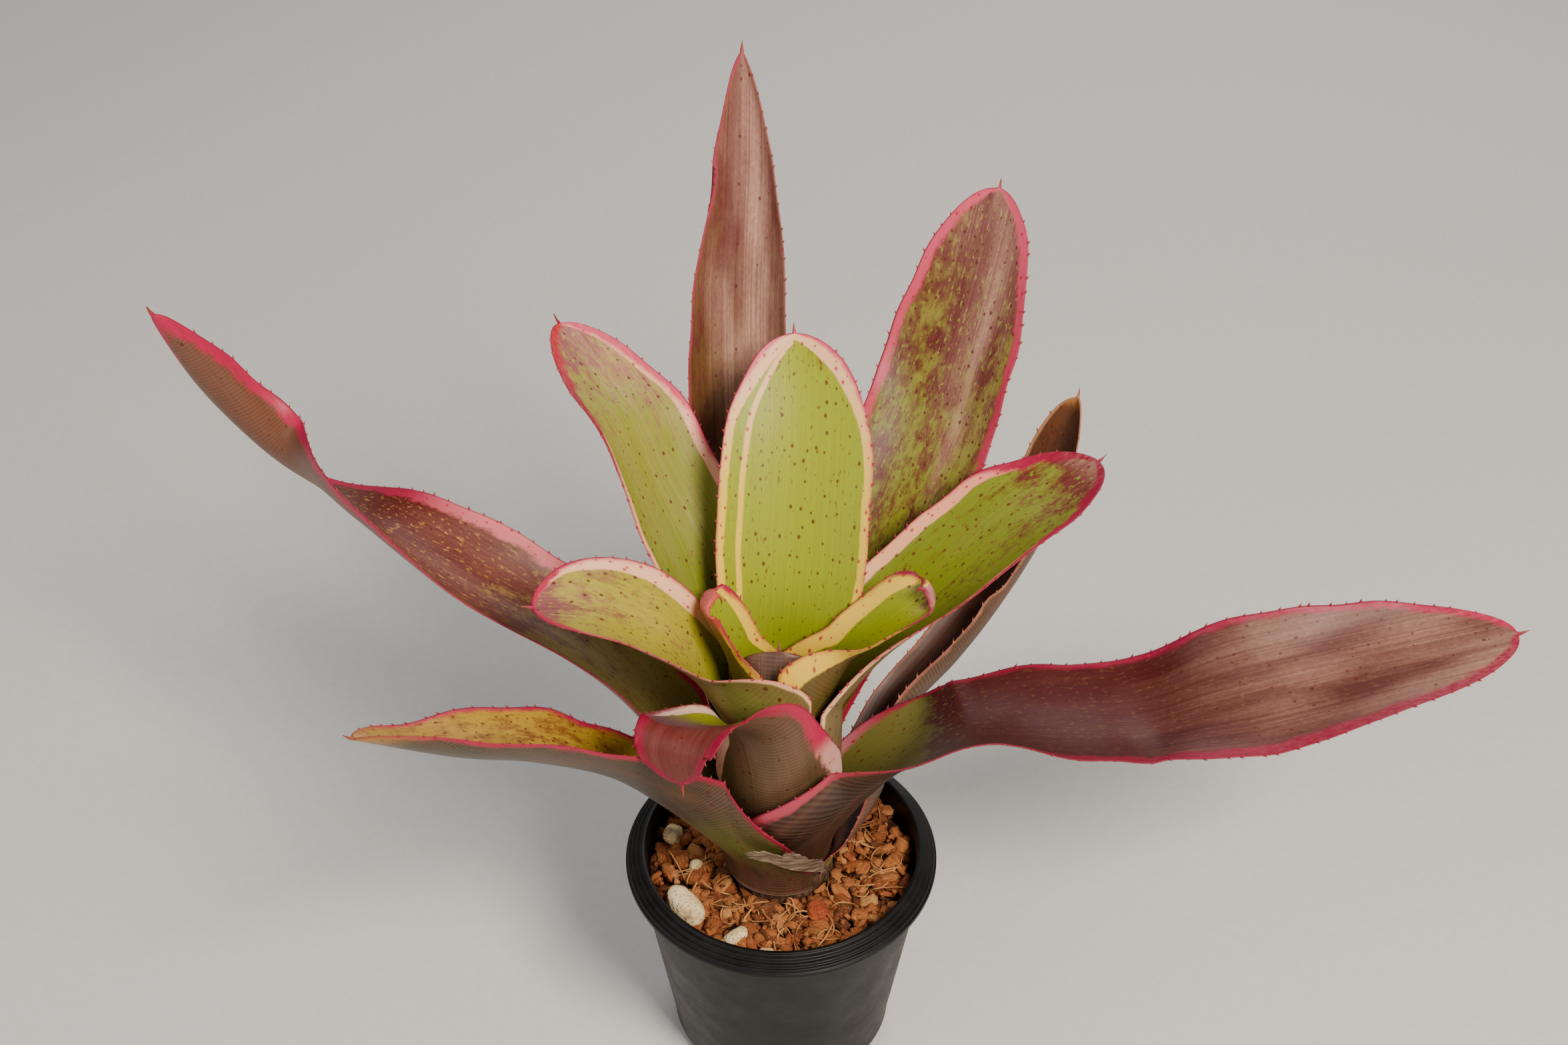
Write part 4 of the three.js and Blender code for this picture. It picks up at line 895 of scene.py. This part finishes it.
def leaf_mesh(leaf):
    """The leaf's skin as one closed loop of columns carried along its rows: over the upper face, round a
    blunt margin and back along the lower face. Its attributes give the material the place on the leaf, the
    colours and how much of each marking there is."""
    blade = leaf_axis(leaf)[-1]
    sheath = np.linspace(-1, 0, int((leaf["neck"] - sheath_start(leaf["layer"])) / 2) + 2)[:-1]
    ahead = np.linspace(0, 1, int(blade / ROW_STEP))
    ahead = np.where(ahead < 0.8, ahead * 1.06, 0.848 + 0.152 * np.sin((ahead - 0.8) / 0.2 * np.pi / 2))
    s = np.concatenate([sheath, ahead, 1 + np.linspace(0.12, 1, 8) * TIP_SPINE / blade])
    v = np.sin(np.linspace(-1, 1, COLUMNS + 1) * np.pi / 2 * CROWDING) / np.sin(np.pi / 2 * CROWDING)
    points, across, margin, along = leaf_surface(leaf, s, v)
    normals = unit(np.cross(np.gradient(points, axis=0), np.gradient(points, axis=1)))
    waves = ripple(np.stack([along, 30 * np.sign(across)], -1), FACE_WAVELENGTH, leaf["layer"])
    points = points + normals * (FACE_WAVE * waves * smooth(along / 40) * np.abs(v) ** 3)[..., None]
    past = np.clip((s - 1) * blade / TIP_SPINE, 0, 1)[:, None]
    in_point = np.clip(past * 6, 0, 1)
    blunt = mix(10, 2.5, in_point)
    thick = mix(THICKNESS * (1 - 0.35 * v**2), TIP_THICKNESS * (1 - TIP_TAPER * past), in_point)
    rise = normals * (thick / 2 * (1 - np.abs(v) ** blunt) ** (1 / blunt))[..., None]
    loop = np.concatenate([points + rise, (points - rise)[:, -2:0:-1]], axis=1)
    rows, columns = loop.shape[:2]
    k = np.arange(COLUMNS)
    cap = np.stack([k, k + 1, (columns - k - 1) % columns, (columns - k) % columns], -1)
    caps = [cap, (rows - 1) * columns + cap[:, ::-1]]
    quads = outward(loop.reshape(-1, 3), np.concatenate([grid_quads(rows, columns, wrap=True), *caps]))

    def looped(upper, lower):
        """A value of the upper face and one of the lower face, laid round the loop."""
        return np.concatenate([upper, lower[:, -2:0:-1]], axis=1).reshape(rows * columns, *upper.shape[2:])

    flat = np.zeros_like(across)
    cream, rim_width = (sided(leaf[key], s, v)[..., 0] for key in ("cream", "rim"))
    upper, under = (eased(leaf[key], s)[:, None] + flat[..., None] for key in ("upper", "under"))
    rim = sided(leaf["rim_colour"], s, v)
    pale = sided(leaf.get("cream_colour", [(0, BUTTER)]), s, v)
    # The silver amount is partly the scales' own pale and partly a painted sheen over them.
    flush, silver_and_sheen = tone(leaf, "flush", s, v), tone(leaf, "silver_and_sheen", s, v)
    stripe_side, stripe_in, stripe_width = leaf.get("stripe", (1, -90, 1))
    stripe = np.abs(margin - stripe_in) - stripe_width / 2 + 50 * (np.sign(across) != stripe_side)
    faces = {
        "place": [np.stack([across + 90 * leaf["layer"], along, flat + face], -1) for face in (0, 1)],
        "bands": [np.stack([margin, cream, rim_width], -1)] * 2,
        "tones": [np.stack([flush, silver_and_sheen, flat + leaf["specks"]], -1)] * 2,
        "stripe": [stripe] * 2,
        "body": [upper, under],
        "rim": [rim] * 2,
        "pale": [pale] * 2,
        "point": [past + flat] * 2,
    }
    attributes = {key: looped(*values) for key, values in faces.items()}
    spine_points, spine_quads, share = leaf_spines(leaf, s, points, normals)
    spines = {key: np.repeat(value[:1] * 0, len(spine_points), axis=0) for key, value in attributes.items()}
    spines["point"] = share
    spines["bands"] = spines["bands"] + [0, 0, 2]
    spines["stripe"] = spines["stripe"] + 50
    spines["rim"] = spines["rim"] + rim[rows // 2, 0]
    return joined([[loop.reshape(-1, 3), quads, attributes], [spine_points, spine_quads, spines]])


def leaf_material(name, stain):
    """Waxy bromeliad leaf, seen as it grew: the body colour is blotched and flecked with the stain, streaked
    along its veins, specked dark red and dusted with silver scales, which are brightened in places by a
    painted sheen. Toward the margin come the cream band and the coloured rim, paled by the same scales and
    sheen.
    Patterns are laid out in millimetres, across and along the leaf; their third scale only keeps one face's
    from being like the other's."""
    made, tree, shader = new_material(
        name, IOR=1.46, Specular_IOR_Level=0.27, Coat_Weight=0.05, Coat_Roughness=0.3
    )
    kinds = {"Vector": "place bands tones", "Color": "body rim pale", "Fac": "point stripe"}
    place, bands, tones, body, rim_colour, pale_colour, point, stripe = (
        node(tree, "Attribute", out=kind, attribute_name=key)
        for kind, keys in kinds.items()
        for key in keys.split()
    )
    face = node(tree, "SeparateXYZ", {"Vector": place}, out="Z")
    margin, cream, rim = node(tree, "SeparateXYZ", {"Vector": bands}, out=("X", "Y", "Z"))
    flush, silver_and_sheen, speck = node(tree, "SeparateXYZ", {"Vector": tones}, out=("X", "Y", "Z"))
    above = node(tree, "Math", {0: 1.0, 1: face}, operation="SUBTRACT")

    # Noise patterns, each with its scale, detail and roughness, and in millimetres what it draws.
    noises = [
        ((0.08, 0.035, 7.0), 2.0, 0.5),  # wide blotches, 12 by 28
        ((0.3, 0.13, 3.0), 5.0, 0.68),  # close blotches, 3 by 8
        ((0.95, 0.33, 9.0), 3.0, 0.6),  # flecks, 1 by 3
        ((1.0, 0.006, 11.0), 3.0, 0.7),  # veins 1 apart, the whole length of the leaf
        ((0.1, 0.022, 5.0), 2.0, 0.5),  # patches of haze, 10 by 45
        ((1.1, 0.5, 2.0), 4.0, 0.75),  # scales, 0.9 by 2, broken down to a tenth of that
    ]
    wide, close, fine, vein, patch, scales = (
        node(tree, "TexNoise", {
            "Vector": node(tree, "Mapping", {"Vector": place, "Scale": scale}),
            "Scale": 1.0, "Detail": detail, "Roughness": broken,
        })
        for scale, detail, broken in noises
    )

    # Blotches of both sizes, soft at their edges.
    pattern = node(tree, "Mix", {"Factor": 0.6, "A": wide, "B": close}, data_type="FLOAT")
    level = node(tree, "Math", {0: flush, 1: 0.5, 2: pattern}, operation="MULTIPLY_ADD")
    soft = {"Value": level, "From Min": 0.66, "From Max": 0.87}
    blotch = node(tree, "MapRange", soft, interpolation_type="SMOOTHSTEP")

    # Flecks: dark on the green, and gaps in the stain where it is deep.
    grown = node(tree, "Math", {0: level, 1: 0.28, 2: fine}, operation="MULTIPLY_ADD")
    flecked = node(tree, "MapRange", {"Value": speck, "From Max": 0.4})
    fleck = node(tree, "MapRange", {"Value": grown, "From Min": 0.77, "From Max": 0.84, "To Max": 0.7})
    fleck = node(tree, "Math", {0: fleck, 1: flecked}, operation="MULTIPLY")
    deep = node(tree, "Math", {0: blotch, 1: fleck}, operation="MAXIMUM")
    gap = node(tree, "MapRange", {"Value": fine, "From Min": 0.42, "From Max": 0.36})
    gap = node(tree, "Math", {0: gap, 1: flecked}, operation="MULTIPLY")
    deep = node(tree, "Math", {0: deep, 1: gap}, operation="SUBTRACT", use_clamp=True)
    share = node(tree, "MapRange", {"Value": face, "To Min": 1.0, "To Max": 0.3})
    deep = node(tree, "Math", {0: deep, 1: share}, operation="MULTIPLY")
    colour = node(tree, "Mix", {"Factor": deep, "A": body, "B": stain}, data_type="RGBA")

    # Veins: faint parallel lines, lighter and darker.
    lit = {"Value": vein, "From Min": 0.25, "From Max": 0.75, "To Min": 0.9, "To Max": 1.08}
    shade = node(tree, "MapRange", lit)
    both = {"Factor": 1.0, "A": colour, "B": shade}
    colour = node(tree, "Mix", both, data_type="RGBA", blend_type="MULTIPLY")

    # Silver scales and painted sheen: a soft haze in patches, broken into lines along the veins and into
    # grains. The pale is partly the scales' own colour and partly a painted highlight where light catches
    # them.
    haze = node(tree, "MapRange", {"Value": patch, "From Min": 0.34, "From Max": 0.62, "To Min": 0.25})
    grain = node(tree, "MapRange", {"Value": scales, "From Min": 0.3, "From Max": 0.7, "To Min": 0.55})
    streak = node(tree, "MapRange", {"Value": vein, "From Min": 0.35, "From Max": 0.65, "To Min": 0.45})
    scale_and_sheen_mask = haze
    for factor in (streak, grain, silver_and_sheen):
        scale_and_sheen_mask = node(tree, "Math", {0: scale_and_sheen_mask, 1: factor}, operation="MULTIPLY")

    # Clouds of dull red-brown on the lower face.
    cloud = node(tree, "MapRange", {"Value": patch, "From Min": 0.45, "From Max": 0.62, "To Max": 0.45})
    cloud = node(tree, "Math", {0: cloud, 1: face}, operation="MULTIPLY")

    # Cross rows of scales on the lower face, every 1.3 mm: coarser than the real half millimetre, to show.
    # The wave's own period is 0.31 of its coordinate.
    rows = node(tree, "Mapping", {"Vector": place, "Scale": (0.02, 0.24, 0.0)})
    wavy = {"Vector": rows, "Scale": 1.0, "Distortion": 1.5, "Detail": 3.0}
    rowed = node(tree, "TexWave", wavy, bands_direction="Y")
    rowed = node(tree, "Math", {0: rowed, 1: face}, operation="MULTIPLY")
    rowed = node(tree, "MapRange", {"Value": rowed, "To Max": 0.07})

    # Cream band and inner stripe, with soft wavering edges.
    waver = node(tree, "MapRange", {"Value": close, "To Min": -1.6, "To Max": 1.6})
    reach = node(tree, "Math", {0: waver, 1: 0.5, 2: cream}, operation="MULTIPLY_ADD")
    inside = node(tree, "Math", {0: reach, 1: margin}, operation="SUBTRACT")
    soft = {"Value": inside, "From Min": -0.3, "From Max": 0.4}
    band = node(tree, "MapRange", soft, interpolation_type="SMOOTHSTEP")
    has_cream = node(tree, "MapRange", {"Value": cream, "From Min": 0.3, "From Max": 0.8})
    band = node(tree, "Math", {0: band, 1: has_cream}, operation="MULTIPLY")
    line = node(tree, "MapRange", {"Value": stripe, "From Min": 0.3, "From Max": -0.2})
    line = node(tree, "Math", {0: line, 1: above}, operation="MULTIPLY")
    band = node(tree, "Math", {0: band, 1: line}, operation="MAXIMUM")

    # The rim: pink to crimson from the margin inward, streaked along its length and mottled at its inner
    # edge, the more so where it is wide.
    ragged = node(tree, "Math", {0: rim, 1: 0.35, 2: 0.5}, operation="MULTIPLY_ADD")
    reach = node(tree, "Math", {0: waver, 1: ragged, 2: rim}, operation="MULTIPLY_ADD")
    inside = node(tree, "Math", {0: reach, 1: margin}, operation="SUBTRACT")
    soft = {"Value": inside, "From Min": -0.6, "From Max": 1.6}
    edge = node(tree, "MapRange", soft, interpolation_type="SMOOTHSTEP")
    has_rim = node(tree, "MapRange", {"Value": rim, "From Max": 0.3})
    edge = node(tree, "Math", {0: edge, 1: has_rim}, operation="MULTIPLY")
    # The rim pales toward pink-white with the silver scales and their painted sheen.
    rim_scales_and_sheen = node(tree, "Mix", {"Factor": silver_and_sheen, "A": rim_colour, "B": "#e8a6a0"}, data_type="RGBA")
    tint = node(tree, "MapRange", {"Value": fine, "From Min": 0.4, "From Max": 0.75, "To Max": 0.35})
    tinted = node(tree, "Mix", {"Factor": tint, "A": rim_colour, "B": rim_scales_and_sheen}, data_type="RGBA")
    both = {"Factor": 1.0, "A": tinted, "B": shade}
    tinted = node(tree, "Mix", both, data_type="RGBA", blend_type="MULTIPLY")
    outer = node(tree, "MapRange", {"Value": margin, "From Min": 0.7, "From Max": 0.2, "To Max": 0.55})
    outer = node(tree, "Math", {0: outer, 1: edge}, operation="MULTIPLY")

    # Specks of 0.4 to 1 mm, round and dark red, in cells of 4 mm; only some of the cells have one, and more
    # of them in the cream band and the rim.
    cells = {"Vector": node(tree, "Mapping", {"Vector": place, "Scale": (0.3, 0.22, 1.0)}), "Scale": 1.0}
    spot, tint = node(tree, "TexVoronoi", cells, out=("Distance", "Color"), voronoi_dimensions="2D")
    drawn_at, spot_size = node(tree, "SeparateColor", {"Color": tint}, out=("Red", "Green"))
    coloured = node(tree, "Math", {0: band, 1: edge}, operation="MAXIMUM")
    often = node(tree, "Math", {0: coloured, 1: 0.35, 2: speck}, operation="MULTIPLY_ADD")
    chosen = node(tree, "Math", {0: drawn_at, 1: often}, operation="LESS_THAN")
    radius = node(tree, "MapRange", {"Value": spot_size, "To Min": 0.04, "To Max": 0.15})
    near = node(tree, "Math", {0: radius, 1: spot}, operation="SUBTRACT")
    dot = node(tree, "MapRange", {"Value": near, "From Min": -0.04, "From Max": 0.04, "To Max": 0.85})
    dot = node(tree, "Math", {0: dot, 1: chosen}, operation="MULTIPLY")
    red = node(tree, "Mix", {"Factor": coloured, "A": "#5c2018", "B": "#b0213c"}, data_type="RGBA")

    # The spines and the leaf's point dry to straw and brown, over all the other markings.
    dry = node(tree, "MapRange", {"Value": point, "From Min": 0.2, "From Max": 0.75, "To Max": 0.85})
    # e0ae98 is the pale pink of the silver scales and of the painted sheen on them.
    markings = [
        (scale_and_sheen_mask, "#e0ae98"), (cloud, "#6a4234"), (rowed, "#c0aa88"), (band, pale_colour), (edge, tinted),
        (outer, "#8c1f38"), (dot, red), (dry, "#8a5232"),
    ]
    for share, paint in markings:
        colour = node(tree, "Mix", {"Factor": share, "A": colour, "B": paint}, data_type="RGBA")

    # Ridged along the veins, grained by the scales, and duller where they lie thick.
    ridges = node(tree, "Bump", {"Height": vein, "Distance": 0.3 * MM, "Strength": 0.4})
    relief = node(tree, "Bump", {"Height": grain, "Distance": 0.1 * MM, "Strength": 0.4, "Normal": ridges})
    dull = node(tree, "MapRange", {"Value": scale_and_sheen_mask, "To Min": WAXY, "To Max": WAXY + 0.25})
    feed(tree, shader, Base_Color=colour, Roughness=dull, Normal=relief)
    return made


slots = {part["node"]: part["material_slot"] for part in frame["record"]["subparts"]}
for layer, leaf in enumerate(LEAVES):
    leaf["layer"] = layer
    points, quads, attributes = leaf_mesh(leaf)
    finish = leaf_material(leaf["name"] + "_skin", leaf["stain"])
    add_piece(leaf["name"] + "_blade", points, quads, finish, slots[leaf["name"]], [leaf["name"]], attributes)

# ---- Dry scale ----------------------------------------------------------------------------------------
# What is left of the lowest leaf: a torn collar of its sheath round the front of the tube, dried to brittle
# grey-tan paper, its free edge frayed and curled outward at the left end.
SCALE_FROM, SCALE_TO = 249, 314  # the azimuths of its ends
SCALE_FOOT = 102, 81  # how high up its lower edge starts and ends
SCALE_HEIGHT = 12
SCALE_THICKNESS = 0.45

u, v = np.meshgrid(np.linspace(0, 1, 91), np.linspace(0, 1, 25), indexing="xy")
turn = np.radians(mix(SCALE_FROM, SCALE_TO, u))
flat = np.stack([u * 30, v * 8], -1)
torn = 1 + 0.12 * np.sin(17 * u) + 0.1 * ripple(flat[..., :1], 2.4, 6)
z = mix(*SCALE_FOOT, u) - 1.2 * np.sin(5 * u) + SCALE_HEIGHT * torn * np.sin(np.pi * mix(0.12, 0.93, u)) * v
flare = 1.2 * v**2 + 2.5 * np.clip(1 - 5 * u, 0, 1) + 0.25 * ripple(flat, 4, 12) * v

# It lies on the tube, and outside the lowest leaf wherever one of that leaf's points is beside it.
low = leaf_surface(LEAVES[-1], np.linspace(-1, 0.4, 160), np.linspace(-1, 1, 81))[0].reshape(-1, 3)
low_turn = np.arctan2(low[:, 1], low[:, 0]) % (2 * np.pi)
beside = (np.abs(low_turn - turn[..., None]) < 0.06) & (np.abs(low[:, 2] - z[..., None]) < 1.5)
leaf_reach = np.where(beside, np.hypot(low[:, 0], low[:, 1]) + THICKNESS, 0).max(axis=-1)
reach = np.maximum(sheath_radius(LEAF_COUNT, z) + 0.35, leaf_reach) + flare
outer, inner = (
    np.stack([r * np.cos(turn), r * np.sin(turn), z], -1)
    for r in (reach + SCALE_THICKNESS / 2, reach - SCALE_THICKNESS / 2)
)
ring = np.concatenate([outer, inner[:, ::-1]], axis=1)
rows, columns = ring.shape[:2]
k = np.arange(columns // 2 - 1)
cap = np.stack([k, k + 1, columns - k - 2, columns - k - 1], -1)
quads = np.concatenate([grid_quads(rows, columns, wrap=True), cap, (rows - 1) * columns + cap[:, ::-1]])

# Brittle paper, dull, with its dead veins 1.1 mm apart and leaning with the leaf.
greys = [[0.3, "#3a2a20"], [0.45, "#6f5a48"], [0.6, "#a58f76"], [0.75, "#c9b294"]]
paper = mottled(
    "dried_leaf_sheath", (8.33, 8.33, 1.11), 5.0, greys, 0.5, 0.65, lean=0.3, IOR=1.45, Roughness=0.8
)
points = ring.reshape(-1, 3)
add_piece("dry_scale_paper", points, outward(points, quads), paper, "dry_scale", ["dry_scale"])

# ---- Studio -------------------------------------------------------------------------------------------
# A pale seamless floor, one large soft light from the upper right, a weaker one from the left and a pale
# room. The camera looks down on the plant from the front.
FLOOR_HALF = 3  # metres
FLOOR_DROP = 0.2 * MM

whites = [[0.3, "#d6d5d2"], [0.7, "#dbdad7"]]
paper_floor = mottled("studio_paper", (3.33, 3.33, 3.33), 3.0, whites, IOR=1.4, Roughness=0.9)
floor_mesh = bpy.data.meshes.new("floor")
corners = [(FLOOR_HALF * x, FLOOR_HALF * y, -FLOOR_DROP) for x, y in ((-1, -1), (1, -1), (1, 1), (-1, 1))]
floor_mesh.from_pydata(corners, [], [[0, 1, 2, 3]])
floor_mesh.materials.append(paper_floor)
floor = bpy.data.objects.new("floor", floor_mesh)
bpy.context.scene.collection.objects.link(floor)

world = bpy.data.worlds.new("studio_room")
world.use_nodes = True
world.node_tree.nodes["Background"].inputs["Color"].default_value = linear("#e9e8e6")
world.node_tree.nodes["Background"].inputs["Strength"].default_value = 0.24
bpy.context.scene.world = world

LIGHTS = {  # place and size in metres, power in watts
    "key_softbox": dict(at=(0.55, -0.75, 1.15), size=0.45, power=27, colour="#fff1e2"),
    "fill_softbox": dict(at=(-1.0, -0.6, 0.8), size=1.0, power=6, colour="#ffffff"),
    "back_softbox": dict(at=(0.3, 1.1, 0.9), size=0.8, power=5, colour="#ffffff"),
}
LAMPS_AIM_AT = (0, 0, 0.15)  # the middle of the plant
for name, lamp in LIGHTS.items():
    light = bpy.data.lights.new(name, "AREA")
    light.size = lamp["size"]
    light.energy = lamp["power"]
    light.color = linear(lamp["colour"])[:3]
    made = bpy.data.objects.new(name, light)
    made.location = lamp["at"]
    aim = np.array(LAMPS_AIM_AT) - lamp["at"]
    made.rotation_mode = "QUATERNION"
    made.rotation_quaternion = Vector(aim).to_track_quat("-Z", "Y")
    bpy.context.scene.collection.objects.link(made)

CAMERA_AT = (0.0009, -0.4366, 0.5618)  # metres
CAMERA_PITCH = 38.73  # degrees below the horizon
CAMERA_LENS = 45.92  # on a 36 mm sensor
lens = bpy.data.cameras.new("camera")
lens.sensor_width = 36
lens.lens = CAMERA_LENS
camera = bpy.data.objects.new("camera", lens)
camera.location = CAMERA_AT
camera.rotation_euler = (np.radians(90 - CAMERA_PITCH), 0, 0)
bpy.context.scene.collection.objects.link(camera)
bpy.context.scene.camera = camera
